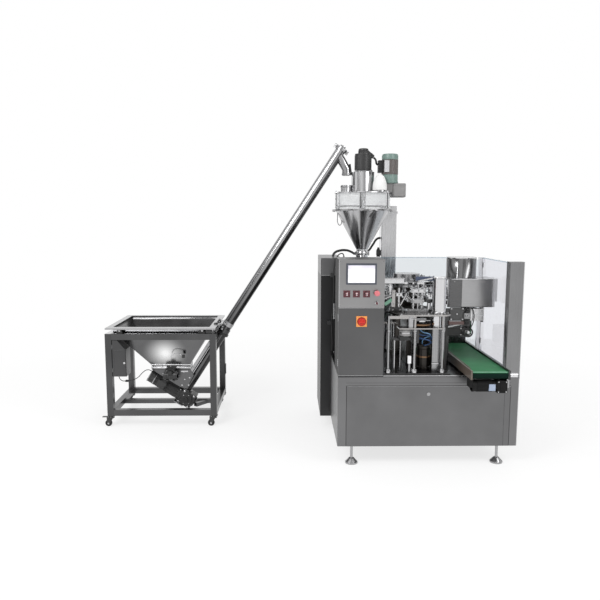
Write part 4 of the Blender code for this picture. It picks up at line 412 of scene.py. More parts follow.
SEAM = moulded_plastic("seam_shadow", grey(0.030), 0.60)
BLUE_HOSE = moulded_plastic("blue_hose", (0.020, 0.060, 0.160), 0.30, 900.0)
PALE_BLUE_HOSE = moulded_plastic("pale_blue_hose", (0.120, 0.250, 0.420), 0.30, 900.0)
MOTOR_BLACK = machine_paint("motor_black", grey(0.022), 0.46)
MOTOR_GREEN = machine_paint("motor_green", (0.150, 0.225, 0.200), 0.45)
MOTOR_FINS = machine_paint("motor_fins", (0.105, 0.092, 0.088), 0.50)
GEAR_GREY = machine_paint("gear_grey", grey(0.225, 0.02), 0.50)
STATION_GREY = machine_paint("station_grey", grey(0.070), 0.45)
SEAL_RED = machine_paint("seal_plate", (0.140, 0.080, 0.075), 0.40)
BLUE_PLATE = machine_paint("blue_plate", (0.035, 0.050, 0.095), 0.35)
RAIL_BLACK = machine_paint("rail_black", grey(0.022), 0.35)
RAIL_BROWN = machine_paint("rail_brown", (0.110, 0.088, 0.072), 0.35)
PALE_GREY = machine_paint("pale_grey", grey(0.50), 0.45)
BARE_PLATE = machine_paint("bare_plate", (0.30, 0.36, 0.47), 0.40)
PALE_GREEN = moulded_plastic("pale_green_guard", (0.200, 0.420, 0.300), 0.30)
BELT_GREEN = moulded_plastic("belt_green", (0.040, 0.185, 0.080), 0.55, 900.0, gloss=0.18)
# painted shade: a near-black copy of the belt green for faces not facing up
BELT_SHADE = moulded_plastic("belt_painted_shade", (0.002, 0.013, 0.009), 0.60, 900.0, gloss=0.08)
BELT_MOTOR = moulded_plastic("belt_motor_black", grey(0.009), 0.55, 500.0, gloss=0.16)
# painted highlight colour for the strip along the belt's front edge
BELT_HIGHLIGHT = moulded_plastic("belt_painted_highlight", (0.330, 0.600, 0.450), 0.40, 900.0)
RED = moulded_plastic("red_plastic", (0.55, 0.020, 0.012), 0.35)
DARK_RED = moulded_plastic("dark_red_ring", (0.240, 0.012, 0.012), 0.40)
PALE_RED = moulded_plastic("pale_red_plastic", (0.60, 0.16, 0.18), 0.32)
KNOB_PINK = moulded_plastic("pale_pink_knob", (0.72, 0.44, 0.46), 0.30)
MAROON = moulded_plastic("maroon_plate", (0.110, 0.030, 0.036), 0.40)
ORANGE = moulded_plastic("orange_plate", (0.85, 0.33, 0.08), 0.40)
BEZEL_GREY = moulded_plastic("bezel_grey", (0.060, 0.066, 0.085), 0.40)
WHITE_PLASTIC = moulded_plastic("white_plastic", grey(0.78), 0.40)
SCREEN_WHITE = moulded_plastic("screen_white", grey(0.82), 0.20, 1200.0, 0.20)
SCREEN_BAR = moulded_plastic("screen_bar", (0.66, 0.64, 0.72), 0.20, 1200.0, 0.16)
RING_CLEAR = clear_sheet("clear_ring", (0.955, 0.962, 0.968), 0.06, 0.80)
WINDOW_CLEAR = clear_sheet("back_pane", (0.775, 0.808, 0.832))
SIDE_CLEAR = clear_sheet("side_pane", (0.810, 0.815, 0.850))
RIM_CLEAR = clear_sheet("pane_edge", (0.70, 0.80, 0.86), 0.10, 0.70)


# Floor, backdrop and light

FLOOR_HALF = 60.0
FLOOR_TONE = 0.92
FADE_NEAR = 0.72
FADE_REACH = (2.3, 5.0)
WORLD_LIGHT = 0.85
KEY_POWER = 170.0
FILL_POWER = 60.0
FLAGS = (
    (-180, 1.0), (-128, 1.0), (-118, 0.10), (-100, 0.10), (-92, 1.0), (-70, 1.0), (-58, 0.10), (-34, 0.12),
    (-24, 0.80), (-6, 0.85), (6, 0.30), (18, 0.30), (26, 1.0), (44, 1.0), (54, 0.10), (80, 0.08),
    (90, 1.0), (112, 1.0), (122, 0.20), (134, 0.25), (144, 1.0), (180, 1.0),
)


def make_floor():
    """Pale floor with the machine's soft shadow, running out into white behind it."""
    bpy.ops.mesh.primitive_plane_add(size=2 * FLOOR_HALF)
    floor = bpy.context.object
    floor.name = "floor"
    material, shader, place = blank_material("pale_floor")
    tree = material.node_tree
    links = tree.links
    cloud = noise(material, place, 0.8, 2.0)
    tone = ramp(material, cloud, ((0.3, (FLOOR_TONE,) * 3), (0.7, (FLOOR_TONE + 0.01,) * 3)))
    links.new(tone, shader.inputs["Base Color"])
    shader.inputs["Roughness"].default_value = 0.9
    shader.inputs["Specular IOR Level"].default_value = 0.1
    reach = added(tree, "ShaderNodeVectorMath", operation="LENGTH")
    links.new(place, reach.inputs[0])
    fade = ranged(material, reach.outputs["Value"], FADE_NEAR, 1.0, *FADE_REACH)
    ray = added(tree, "ShaderNodeLightPath")
    mirrored = linked_math(tree, "MAXIMUM", seen_directly(tree, ray), ray.outputs["Is Glossy Ray"])
    share = linked_math(tree, "MULTIPLY", fade, mirrored)
    white = glowing(tree, "ShaderNodeEmission", 1.0)
    links.new(
        mixed(tree, share, shader.outputs[0], white.outputs[0]),
        tree.nodes["Material Output"].inputs["Surface"],
    )
    floor.data.materials.append(material)


def make_world():
    """White where the backdrop shows, a softer level for the light, and dark flags for the metal."""
    world = bpy.data.worlds.new("studio")
    world.use_nodes = True
    bpy.context.scene.world = world
    tree = world.node_tree
    light = tree.nodes["Background"]
    light.inputs["Color"].default_value = (1.0, 1.0, 1.0, 1.0)
    light.inputs["Strength"].default_value = WORLD_LIGHT
    shown = glowing(tree, "ShaderNodeBackground", 1.0)
    flags = glowing(tree, "ShaderNodeBackground", 1.0)
    tree.links.new(flag_colour(tree), flags.inputs["Color"])
    ray = added(tree, "ShaderNodeLightPath")
    backdrop = mixed(tree, seen_directly(tree, ray), light.outputs[0], shown.outputs[0])
    metal = mixed(tree, ray.outputs["Is Glossy Ray"], backdrop, flags.outputs[0])
    tree.links.new(metal, tree.nodes["World Output"].inputs["Surface"])


def flag_colour(tree):
    """Grey by compass direction: the operator's side in the middle, and behind at both ends."""
    place = added(tree, "ShaderNodeTexCoord")
    parts = added(tree, "ShaderNodeSeparateXYZ")
    tree.links.new(place.outputs["Generated"], parts.inputs[0])
    facing = added(tree, "ShaderNodeMath", operation="MULTIPLY")
    facing.inputs[1].default_value = -1.0
    tree.links.new(parts.outputs["Y"], facing.inputs[0])
    angle = linked_math(tree, "ARCTAN2", parts.outputs["X"], facing.outputs[0])
    share = added(tree, "ShaderNodeMapRange")
    share.inputs["From Min"].default_value = -math.pi
    share.inputs["From Max"].default_value = math.pi
    tree.links.new(angle, share.inputs["Value"])
    colours = added(tree, "ShaderNodeValToRGB")
    elements = colours.color_ramp.elements
    while len(elements) < len(FLAGS):
        elements.new(0.5)
    for element, (degrees, tone) in zip(elements, FLAGS):
        element.position = 0.5 + degrees / 360.0
        element.color = (tone, tone, tone, 1.0)
    tree.links.new(share.outputs["Result"], colours.inputs["Fac"])
    return colours.outputs["Color"]


def area_lamp(name, place, target, size, power):
    data = bpy.data.lights.new(name, "AREA")
    data.shape = "RECTANGLE"
    data.size, data.size_y = size
    data.energy = power
    lamp = bpy.data.objects.new(name, data)
    bpy.context.scene.collection.objects.link(lamp)
    lamp.location = place
    aim = Vector(target) - Vector(place)
    lamp.rotation_euler = aim.to_track_quat("-Z", "Y").to_euler()


bpy.context.scene.view_settings.view_transform = "Standard"
make_floor()
make_world()
area_lamp("key_lamp", (-3.0, -4.0, 4.6), (0.0, 0.0, 1.0), (2.4, 2.0), KEY_POWER)
area_lamp("fill_lamp", (3.6, -3.2, 3.4), (0.4, 0.0, 1.0), (2.0, 2.0), FILL_POWER)


# Free cords, along the routes of their solids

def smooth_route(name, points, radius, roundness, steps):
    """A round curve through points of the machine."""
    curve = bpy.data.curves.new(name, "CURVE")
    curve.dimensions = "3D"
    curve.bevel_depth = radius
    curve.bevel_resolution = roundness
    curve.resolution_u = steps
    curve.use_fill_caps = True
    spline = curve.splines.new("BEZIER")
    spline.bezier_points.add(len(points) - 1)
    for knot, point in zip(spline.bezier_points, points):
        knot.co = at(*point)
        knot.handle_left_type = "AUTO"
        knot.handle_right_type = "AUTO"
    route = bpy.data.objects.new(name, curve)
    bpy.context.scene.collection.objects.link(route)
    return route


def cord_curve(name, points, radius, material, body):
    """A round cord through its points, as one smooth curve."""
    cord = smooth_route(name, points, radius, 5, 8)
    cord.data.materials.append(material)
    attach(cord, body)
    return cord


FILLER_CABLE_R = 0.011
FILLER_CABLE = (
    (0.030, 1.050, 1.5910),
    (0.030, 1.050, 1.602),
    (0.045, 1.060, 1.627),
    (0.090, 1.090, 1.645),
    (0.150, 1.130, 1.648),
    (0.215, 1.220, 1.628),
    (0.262, 1.315, 1.604),
    (0.330, 1.375, 1.598),
    (0.400, 1.430, 1.625),
    (0.460, 1.500, 1.690),
    (0.505, 1.550, 1.742),
    (0.530, 1.560, 1.752),
    (0.5405, 1.560, 1.752),
)
MOTOR_CABLE_R = 0.009
MOTOR_CABLE = (
    (0.4175, 1.250, 2.513),
    (0.433, 1.250, 2.499),
    (0.441, 1.250, 2.481),
    (0.444, 1.250, 2.462),
    (0.451, 1.250, 2.451),
    (0.4598, 1.250, 2.448),
)
FEEDER_CABLE_R = 0.0035
FEEDER_CABLE = (
    (-1.985, 1.050, 0.4786),
    (-1.982, 1.050, 0.445),
    (-1.955, 1.060, 0.414),
    (-1.936, 1.065, 0.411),
    (-1.916, 1.070, 0.411),
    (-1.896, 1.075, 0.411),
    (-1.877, 1.080, 0.413),
    (-1.820, 1.095, 0.437),
    (-1.770, 1.105, 0.487),
    (-1.735, 1.110, 0.507),
    (-1.700, 1.120, 0.498),
    (-1.672, 1.145, 0.455),
    (-1.655, 1.163, 0.4125),
)


def cable(name, node, points, radius, body):
    """The cord that stands for the solid of a cable."""
    cord = cord_curve(name, points, radius, CORD_BLACK, body)
    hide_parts(node)
    return cord


def make_cords():
    filler = cable("filler_cord", "filler_cable", FILLER_CABLE, FILLER_CABLE_R, "machine")
    cable("motor_cord", "motor_cable", MOTOR_CABLE, MOTOR_CABLE_R, "machine")
    feeder = cable("feeder_cord", "feeder_cable", FEEDER_CABLE, FEEDER_CABLE_R, "feeder")


make_cords()


# Finishes on the model's own pieces

MERGE = 1e-5
FLAT = math.radians(0.4)
SMOOTH_UNDER = math.radians(32)
EDGE_SEGMENTS = 2
WIDEST_EDGE = 0.4


def only(obj):
    """This object alone is selected and active."""
    bpy.ops.object.select_all(action="DESELECT")
    obj.select_set(True)
    bpy.context.view_layer.objects.active = obj


def open_edit(piece):
    """Edit mode on faces, with nothing selected."""
    only(piece)
    bpy.ops.object.mode_set(mode="EDIT")
    bpy.ops.mesh.select_mode(type="FACE")
    bpy.ops.mesh.select_all(action="DESELECT")


def close_edit():
    bpy.ops.object.mode_set(mode="OBJECT")


def pick_faces(piece, wanted):
    """Selects, in edit mode, the faces that pass a test of their middle and normal."""
    shape = bmesh.from_edit_mesh(piece.data)
    for face in shape.faces:
        face.select_set(bool(wanted(face.calc_center_median() - CORNER, face.normal)))
    shape.select_flush_mode()
    bmesh.update_edit_mesh(piece.data)


def painted(node, material):
    """A flat-sided node keeps its mesh and takes its finish."""
    mesh = NODES[node].data
    mesh.materials.clear()
    mesh.materials.append(material)


def refined(node, material, regions=(), cuts=(), edge=0.0):
    """A finished copy of a node stands for it: round faces run smooth, and regions take their finishes."""
    source = NODES[node]
    piece = bpy.data.objects.new(node + "_finished", source.data.copy())
    bpy.context.scene.collection.objects.link(piece)
    open_edit(piece)
    bpy.ops.mesh.select_all(action="SELECT")
    bpy.ops.mesh.remove_doubles(threshold=MERGE)
    bpy.ops.mesh.dissolve_limited(angle_limit=FLAT)
    for place, normal in cuts:
        bpy.ops.mesh.select_all(action="SELECT")
        bpy.ops.mesh.bisect(plane_co=at(*place), plane_no=normal)
    close_edit()
    piece.data.materials.clear()
    piece.data.materials.append(material)
    for number, (finish, wanted) in enumerate(regions, 1):
        piece.data.materials.append(finish)
        for face in piece.data.polygons:
            if wanted(face.center - CORNER, face.normal):
                face.material_index = number
    if edge:
        eased(piece, edge)
    smoothed(piece)
    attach(piece, source["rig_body"])
    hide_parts(node)
    return piece


def smoothed(piece):
    """Round faces run smooth; flat ones stay flat beside their eased edges."""
    only(piece)
    bpy.ops.object.shade_smooth_by_angle(angle=SMOOTH_UNDER)
    level = piece.modifiers.new("level", "WEIGHTED_NORMAL")
    level.keep_sharp = True
    bpy.ops.object.modifier_apply(modifier=level.name)


def eased(piece, width):
    """Rounds every sharp edge of a piece a little."""
    only(piece)
    ease = piece.modifiers.new("eased", "BEVEL")
    ease.width = width
    ease.segments = EDGE_SEGMENTS
    ease.limit_method = "ANGLE"
    ease.angle_limit = SMOOTH_UNDER
    ease.use_clamp_overlap = True
    bpy.ops.object.modifier_apply(modifier=ease.name)


# Small parts, made as by hand

def settled(piece, name, material):
    piece.name = name
    only(piece)
    bpy.ops.object.transform_apply(location=True, rotation=True, scale=True)
    piece.data.materials.clear()
    piece.data.materials.append(material)
    return piece


def block(name, low, high, material, edge=0.002):
    """A block between two corners, with its edges bevelled."""
    bpy.ops.object.select_all(action="DESELECT")
    low = Vector(low)
    high = Vector(high)
    bpy.ops.mesh.primitive_cube_add(size=1.0, location=at(*((low + high) / 2)), scale=high - low)
    piece = settled(bpy.context.object, name, material)
    open_edit(piece)
    bpy.ops.mesh.select_all(action="SELECT")
    widest = min(high - low) * WIDEST_EDGE
    bpy.ops.mesh.bevel(offset=min(edge, widest), segments=EDGE_SEGMENTS, affect="EDGES")
    close_edit()
    return piece


def framed_block(name, low, high, rim, sink, material, edge=0.002):
    """A block whose front face has a rim round a sunk field."""
    piece = block(name, low, high, material, edge)
    front = low[1]
    open_edit(piece)
    pick_faces(piece, lambda middle, normal: normal.y < -0.99 and abs(middle.y - front) < edge / 2)
    bpy.ops.mesh.inset(thickness=rim, depth=0.0)
    bpy.ops.mesh.inset(thickness=sink, depth=-sink)
    close_edit()
    return piece


def turned(name, rings, origin, material, direction=UP, sides=32):
    """A turned part: a disc, extruded and scaled from ring to ring of (radius, height) along its axis."""
    bpy.ops.object.select_all(action="DESELECT")
    radius, height = rings[0]
    bpy.ops.mesh.primitive_circle_add(
        vertices=sides, radius=radius, fill_type="NGON", location=(0.0, 0.0, height)
    )
    piece = settled(bpy.context.object, name, material)
    open_edit(piece)
    bpy.ops.mesh.select_all(action="SELECT")
    for next_radius, next_height in rings[1:]:
        rise = (0.0, 0.0, next_height - height)
        bpy.ops.mesh.extrude_region_move(TRANSFORM_OT_translate={"value": rise})
        share = next_radius / radius
        bpy.ops.transform.resize(value=(share, share, 1.0), center_override=(0.0, 0.0, next_height))
        radius, height = next_radius, next_height
    bpy.ops.mesh.select_all(action="SELECT")
    bpy.ops.mesh.normals_make_consistent(inside=False)
    close_edit()
    turn = Vector(direction).to_track_quat("Z", "Y").to_matrix().to_4x4()
    piece.matrix_world = Matrix.Translation(at(*origin)) @ turn
    return settled(piece, name, material)


def grooved(piece, wanted, gap, depth):
    """Faces that pass the test are inset one by one and pressed in, or out with a negative depth."""
    open_edit(piece)
    pick_faces(piece, wanted)
    bpy.ops.mesh.inset(thickness=gap, depth=-depth, use_individual=True)
    close_edit()
    return piece


def copied(part, moves):
    """The part and its copies, each with its own mesh, by moves in the frame of the model."""
    parts = [part]
    for move in moves:
        twin = part.copy()
        twin.data = part.data.copy()
        twin.data.transform(move)
        bpy.context.scene.collection.objects.link(twin)
        parts.append(twin)
    return parts


def round_axis(centre, angles):
    """Turns about an upright axis through a point of the machine, one for each angle in degrees."""
    pivot = Matrix.Translation(at(*centre))
    return [pivot @ Matrix.Rotation(math.radians(angle), 4, "Z") @ pivot.inverted() for angle in angles]


def assembled(name, parts, body):
    """Parts that are fixed to each other become one piece."""
    only(parts[0])
    for part in parts[1:]:
        part.select_set(True)
    if len(parts) > 1:
        bpy.ops.object.join()
    piece = bpy.context.view_layer.objects.active
    piece.name = name
    smoothed(piece)
    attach(piece, body)
    return piece


def bolt(name, place, direction, radius, material, height=None):
    """A hexagon bolt head on its washer."""
    high = height or radius
    washer = radius * 1.35
    rings = [(washer, 0.0), (washer, radius * 0.25), (radius, radius * 0.26), (radius, high * 0.85),
             (radius * 0.85, high)]
    return turned(name, rings, place, material, direction, 6)


def bar_between(name, start, end, radius, material):
    """A round bar with slightly eased ends."""
    start = Vector(start)
    end = Vector(end)
    along = end - start
    ease = min(radius * 0.3, along.length * 0.2)
    rings = [(radius - ease, 0.0), (radius, ease), (radius, along.length - ease),
             (radius - ease, along.length)]
    return turned(name, rings, start, material, along, 12)


def bent_wire(name, points, radius, material):
    """A bent rod or moulded hose through its points, as a mesh."""
    piece = smooth_route(name, points, radius, 3, 6)
    only(piece)
    bpy.ops.object.convert(target="MESH")
    return settled(bpy.context.object, name, material)


def air_hose(name, points, radius, material):
    """A free hose on the machine from one fitting to another."""
    hose = cord_curve(name, points, radius, material, "machine")


# Where the main units stand, from the front left corner of the base

FILLER_X = 0.319
FILLER_Y = 1.25
FILLER_MIDDLE = (FILLER_X, FILLER_Y, 0.0)
MOTOR_MIDDLE = (0.573, 1.25, 0.0)
INLET_MIDDLE = (0.162, 1.25, 0.0)
DUCT_MIDDLE = (1.062, 0.470, 0.0)
FRONT_DRUM = (0.800, 0.130, 0.0)
TURRET = Vector((0.6835, 0.8855, 0.0))
TUBE_FOOT = Vector((-1.0016, 1.25, 0.878))
TUBE_SLOPE = math.radians(56.92)
TUBE_AXIS = Vector((math.cos(TUBE_SLOPE), 0.0, math.sin(TUBE_SLOPE)))
TUBE_SIDE = Vector((math.sin(TUBE_SLOPE), 0.0, -math.cos(TUBE_SLOPE)))
DRIVE_AT = TUBE_FOOT - TUBE_AXIS * 0.7778


def flat_distance(place, centre):
    return math.hypot(place.x - centre[0], place.y - centre[1])


def beam(name, start, end, wide, deep, material, edge=0.002):
    """A flat bar from one point to another; its depth runs away from the operator."""
    start = Vector(start)
    end = Vector(end)
    along = end - start
    piece = block(name, (-wide / 2, -deep / 2, 0.0), (wide / 2, deep / 2, along.length), material, edge)
    lean = math.atan2(along.x, along.z)
    piece.matrix_world = (
        Matrix.Translation(at(*start)) @ Matrix.Rotation(lean, 4, "Y") @ Matrix.Translation(-CORNER)
    )
    return settled(piece, name, material)


# Filler: drive, lid, clear ring and cone

def finish_filler():
    refined("servo_motor", MOTOR_BLACK, [(TURNED, lambda place, normal: place.z < 2.389)], edge=0.0015)
    refined("hopper_lid", LID_STEEL, edge=0.001)
    refined("hopper_window", RING_CLEAR)
    refined("filler_hopper", CONE_STEEL, [
        (TURNED, lambda place, normal: place.z > 2.0136),
        (BRIGHT, lambda place, normal: place.z < 1.66),
    ])
    refined("agitator", TURNED)
    refined("dosing_screw", TURNED)
    refined("agitator_gearmotor", MOTOR_GREEN, [
        (GEAR_GREY, lambda place, normal: place.z < 2.2725 and place.x > 0.504),
        (BLACK, lambda place, normal: place.x < 0.4985 and place.z > 2.30),
    ], edge=0.0012)
    painted("filler_column", COLUMN_STEEL)

    middle = FILLER_MIDDLE
    ribs = turned("servo_ribs", [(0.0776, 2.394), (0.0798, 2.398), (0.0798, 2.530), (0.0776, 2.536)],
                  middle, MOTOR_BLACK, sides=40)
    grooved(ribs, lambda place, normal: abs(normal.z) < 0.1 and 2.40 < place.z < 2.52, 0.0022, 0.0028)
    hood = turned("servo_hood_ribs", [(0.049, 2.546), (0.049, 2.572), (0.044, 2.586), (0.026, 2.597)],
                  (0.321, 1.25, 0.0), MOTOR_BLACK, sides=24)
    grooved(hood, lambda place, normal: abs(normal.z) < 0.1, 0.0016, 0.002)
    screws = [bolt("servo_bolt", (FILLER_X + dx, FILLER_Y + dy, 2.3885), UP, 0.007, BRIGHT)
              for dx in (-0.067, 0.067) for dy in (-0.067, 0.067)]
    plug = turned("plug_collar", [(0.0185, 0.0), (0.0205, 0.004), (0.0205, 0.012), (0.0185, 0.014),
                                  (0.0185, 0.020), (0.0205, 0.022), (0.0205, 0.030), (0.0150, 0.040)],
                  (0.386, 1.25, 2.541), BLACK, Vector((0.75, 0.0, -0.66)), 20)
    assembled("servo_details", [ribs, hood, plug, *screws], "machine")

    cap = turned("motor_cap", [(0.0752, 2.494), (0.0768, 2.497), (0.0768, 2.528), (0.070, 2.5435),
                               (0.050, 2.5465)], MOTOR_MIDDLE, MOTOR_GREEN, sides=40)
    fins = turned("motor_fins", [(0.0752, 2.353), (0.0775, 2.355), (0.0775, 2.490), (0.0752, 2.492)],
                  MOTOR_MIDDLE, MOTOR_FINS, sides=48)
    grooved(fins, lambda place, normal: abs(normal.z) < 0.1 and 2.36 < place.z < 2.49, 0.0026, 0.0019)
    foot = turned("motor_foot", [(0.0752, 2.274), (0.080, 2.277), (0.080, 2.288), (0.0765, 2.292),
                                 (0.0765, 2.342)], MOTOR_MIDDLE, MOTOR_GREEN, sides=40)
    cover = framed_block("terminal_cover", (0.512, 1.1725, 2.374), (0.556, 1.205, 2.483), 0.004, 0.0012,
                         PALE_GREY, 0.0015)
    ribs = [block("gland_rib", (0.4585, 1.203, z), (0.5115, 1.250, z + 0.009), RUBBER, 0.0015)
            for z in (2.376, 2.392, 2.408, 2.424, 2.440, 2.456, 2.472)]
    gear_lid = framed_block("gearbox_lid", (0.600, 1.181, 2.151), (0.7105, 1.1885, 2.264), 0.010, 0.002,
                            GEAR_GREY)
    gear_bolts = [bolt("gearbox_bolt", (x, 1.1815, z), FRONT, 0.0048, TURNED)
                  for x in (0.606, 0.7045) for z in (2.157, 2.258)]
    assembled("gearmotor_details", [cap, fins, foot, cover, *ribs, gear_lid, *gear_bolts],
              "machine")

    tie = FILLER_X + 0.2745
    rod = bar_between("tie_rod", (tie, FILLER_Y, 2.018), (tie, FILLER_Y, 2.196), 0.0036, DARK_ROD)
    lug = block("tie_lug", (FILLER_X + 0.262, 1.243, 2.1775), (FILLER_X + 0.281, 1.257, 2.189), EDGE_STEEL)
    nut = bolt("tie_nut", (tie, FILLER_Y, 2.189), UP, 0.007, BRIGHT, 0.009)
    low_nut = bolt("tie_low_nut", (tie, FILLER_Y, 2.0285), UP, 0.007, BRIGHT, 0.006)
    start = round_axis(middle, (20,))[0]
    parts = []
    for part in (rod, lug, nut, low_nut):
        part.data.transform(start)
        parts += copied(part, round_axis(middle, (60, 120, 180, 240, 300)))
    flange_bolt = bolt("flange_bolt", (FILLER_X + 0.279, 1.25, 2.0145), -UP, 0.006, TURNED, 0.007)
    flange_bolt.data.transform(round_axis(middle, (7,))[0])
    parts += copied(flange_bolt, round_axis(middle, range(15, 360, 15)))
    parts.append(turned("lid_rim", [(0.2655, 2.1795), (0.2675, 2.181), (0.2675, 2.186), (0.2655, 2.1875)],
                        middle, EDGE_STEEL, sides=96))
    seam = turned("drum_seam", [(0.1085, 2.188), (0.1125, 2.188), (0.1125, 2.194), (0.1085, 2.197)],
                  middle, BRIGHT, sides=64)
    band = turned("inlet_band", [(0.0522, 2.232), (0.0545, 2.234), (0.0545, 2.248), (0.0522, 2.250)],
                  INLET_MIDDLE, TURNED, sides=40)
    parts += [seam, band]
    screw = bolt("lid_screw", (FILLER_X + 0.245, 1.25, 2.187), UP, 0.006, TURNED)
    screw.data.transform(round_axis(middle, (200,))[0])
    parts += copied(screw, round_axis(middle, (35, 70, 100, 275, 310)))
    for x in (0.205, 0.235):
        parts.append(bolt("lid_latch_screw", (x, 1.022, 2.187), UP, 0.0065, BLACK))
    assembled("ring_clamps", parts, "machine")

    hook = bent_wire("hook", [(0.082, 1.216, 2.016), (0.080, 1.212, 1.960), (0.084, 1.210, 1.900),
                              (0.101, 1.210, 1.880), (0.117, 1.210, 1.897), (0.119, 1.212, 1.930)],
                     0.0032, DARK_ROD)
    assembled("lift_hook", [hook], "machine")

    clamp_plate = block("clamp_plate", (0.352, 0.961, 1.990), (0.392, 0.976, 2.016), TURNED)
    clamp_arm = beam("clamp_arm", (0.362, 0.955, 1.970), (0.398, 0.955, 2.020), 0.012, 0.010, BLACK)
    clamp_grip = bar_between("clamp_grip", (0.350, 0.952, 1.955), (0.366, 0.952, 1.978), 0.0085, BLACK)
    clamp_bolt = bolt("clamp_bolt", (0.384, 0.961, 2.003), FRONT, 0.007, BRIGHT)
    assembled("toggle_clamp", [clamp_plate, clamp_arm, clamp_grip, clamp_bolt], "machine")

    neck = turned("neck_clamp", [(0.058, 1.601), (0.0665, 1.604), (0.0700, 1.612), (0.0700, 1.622),
                                 (0.0665, 1.630), (0.058, 1.633)], middle, BRIGHT, sides=48)
    neck_low = turned("neck_ring", [(0.0560, 1.545), (0.0690, 1.548), (0.0690, 1.572), (0.0560, 1.575)],
                      middle, TURNED, sides=48)
    wing = [turned("wing_nut", [(0.006, 0.0), (0.009, 0.004), (0.009, 0.012), (0.005, 0.018)],
                   (x, 1.1835, 1.617), BRIGHT, FRONT, 12) for x in (0.279, 0.319, 0.357)]
    leaf = [block("wing_leaf", (x - 0.016, 1.166, 1.613), (x + 0.016, 1.171, 1.626), BRIGHT, 0.002)
            for x in (0.279, 0.357)]
    shells = [block("neck_lug", (x - 0.006, 1.176, 1.596), (x + 0.006, 1.196, 1.638), TURNED)
              for x in (0.262, 0.376)]
    nozzle = turned("nozzle_nut", [(0.034, 1.468), (0.044, 1.472), (0.044, 1.500), (0.036, 1.506)],
                    middle, BRIGHT, sides=8)
    assembled("neck_fittings", [neck, neck_low, *wing, *leaf, *shells, nozzle], "machine")

    body = block("plug_body", (0.498, 1.503, 1.580), (0.5428, 1.545, 1.632), BLACK, 0.004)
    throat = turned("plug_throat", [(0.016, 0.0), (0.018, 0.006), (0.0125, 0.018), (0.009, 0.030)],
                    (0.518, 1.524, 1.630), BLACK, UP, 16)
    nut = turned("plug_nut", [(0.017, 0.0), (0.019, 0.003), (0.019, 0.012), (0.016, 0.015)],
                 (0.518, 1.524, 1.566), BLACK, UP, 8)
    assembled("column_plug", [body, throat, nut], "machine")


def woven_cloth(name, colour):
    """Close plain weave, slightly greyed where the powder dust sits."""
    material, shader, place = blank_material(name)
    links = material.node_tree.links
    threads = []
    for turn in ((0.0, 0.0, 0.0), (0.0, math.pi / 2, 0.0)):
        wave = added(material.node_tree, "ShaderNodeTexWave")
        wave.inputs["Scale"].default_value = 210.0
        wave.inputs["Distortion"].default_value = 0.6
        wave.inputs["Detail"].default_value = 1.0
        links.new(stretched(material, place, UNSCALED, turn), wave.inputs["Vector"])
        threads.append(wave.outputs["Fac"])
    weave = linked_math(material.node_tree, "MAXIMUM", *threads)
    dust = noise(material, place, 14.0, 4.0, 0.6)
    tone = ramp(material, dust, ((0.3, shade_of(colour, 0.90)), (0.7, colour)))
    links.new(tone, shader.inputs["Base Color"])
    shader.inputs["Roughness"].default_value = 0.9
    shader.inputs["Sheen Weight"].default_value = 0.35
    bumped(material, shader, weave, 0.35, 0.0006)
    return material


SOCK_CLOTH = woven_cloth("bag_cloth", (0.80, 0.80, 0.79))
SOCK_RINGS = [(0.0600, 2.1935), (0.0655, 2.200), (0.0665, 2.222), (0.0650, 2.250), (0.0595, 2.280),
              (0.0500, 2.308), (0.0370, 2.332), (0.0200, 2.347), (0.0060, 2.352)]
SOCK_SEAM_Z = 2.203
SOCK_VOXEL = 0.005
SOCK_FRAMES = 16
SOCK_SWELL = 0.004
SOCK_PRESSURE = 3.0
SOCK_AT = (0.463, 1.130, 0.0)


def make_sock():
    """White cloth bag over the vent of the lid, blown up a little and held by its band."""
    bag = turned("breather_bag", SOCK_RINGS, SOCK_AT, SOCK_CLOTH, sides=36)
    eased(bag, 0.003)
    remesh = bag.modifiers.new("even", "REMESH")
    remesh.mode = "VOXEL"
    remesh.voxel_size = SOCK_VOXEL
    only(bag)
    bpy.ops.object.modifier_apply(modifier=remesh.name)
    rest = [vertex.co.copy() for vertex in bag.data.vertices]
    held = bag.vertex_groups.new(name="held")
    seam = CORNER.z + SOCK_SEAM_Z
    held.add([vertex.index for vertex in bag.data.vertices if vertex.co.z < seam], 1.0, "REPLACE")
    cloth = bag.modifiers.new("bag_cloth", "CLOTH")
    cloth.settings.use_pressure = True
    cloth.settings.uniform_pressure_force = SOCK_PRESSURE
    cloth.settings.effector_weights.gravity = 0.0
    cloth.settings.vertex_group_mass = "held"
    cloth.point_cache.frame_end = SOCK_FRAMES
    for frame_number in range(1, SOCK_FRAMES + 1):
        bpy.context.scene.frame_set(frame_number)
    only(bag)
    bpy.ops.object.modifier_apply(modifier=cloth.name)
    bpy.context.scene.frame_set(1)
    for vertex, before in zip(bag.data.vertices, rest):
        step = vertex.co - before
        if step.length > SOCK_SWELL:
            vertex.co = before + step.normalized() * SOCK_SWELL
    smooth = bag.modifiers.new("even_cloth", "SUBSURF")
    smooth.levels = 1
    smooth.render_levels = 1
    bpy.ops.object.modifier_apply(modifier=smooth.name)
    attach(bag, "machine")
    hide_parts("breather_sock")
    bpy.ops.object.shade_smooth()
    band = turned("sock_band", [(0.0672, 2.194), (0.0700, 2.1945), (0.0700, 2.203), (0.0672, 2.2035)],
                  SOCK_AT, TURNED, sides=48)
    worm = block("band_worm", (0.452, 1.0545, 2.1935), (0.474, 1.0640, 2.2045), BRIGHT, 0.0015)
    assembled("sock_clamp", [band, worm], "machine")


# Screw tube and its spout

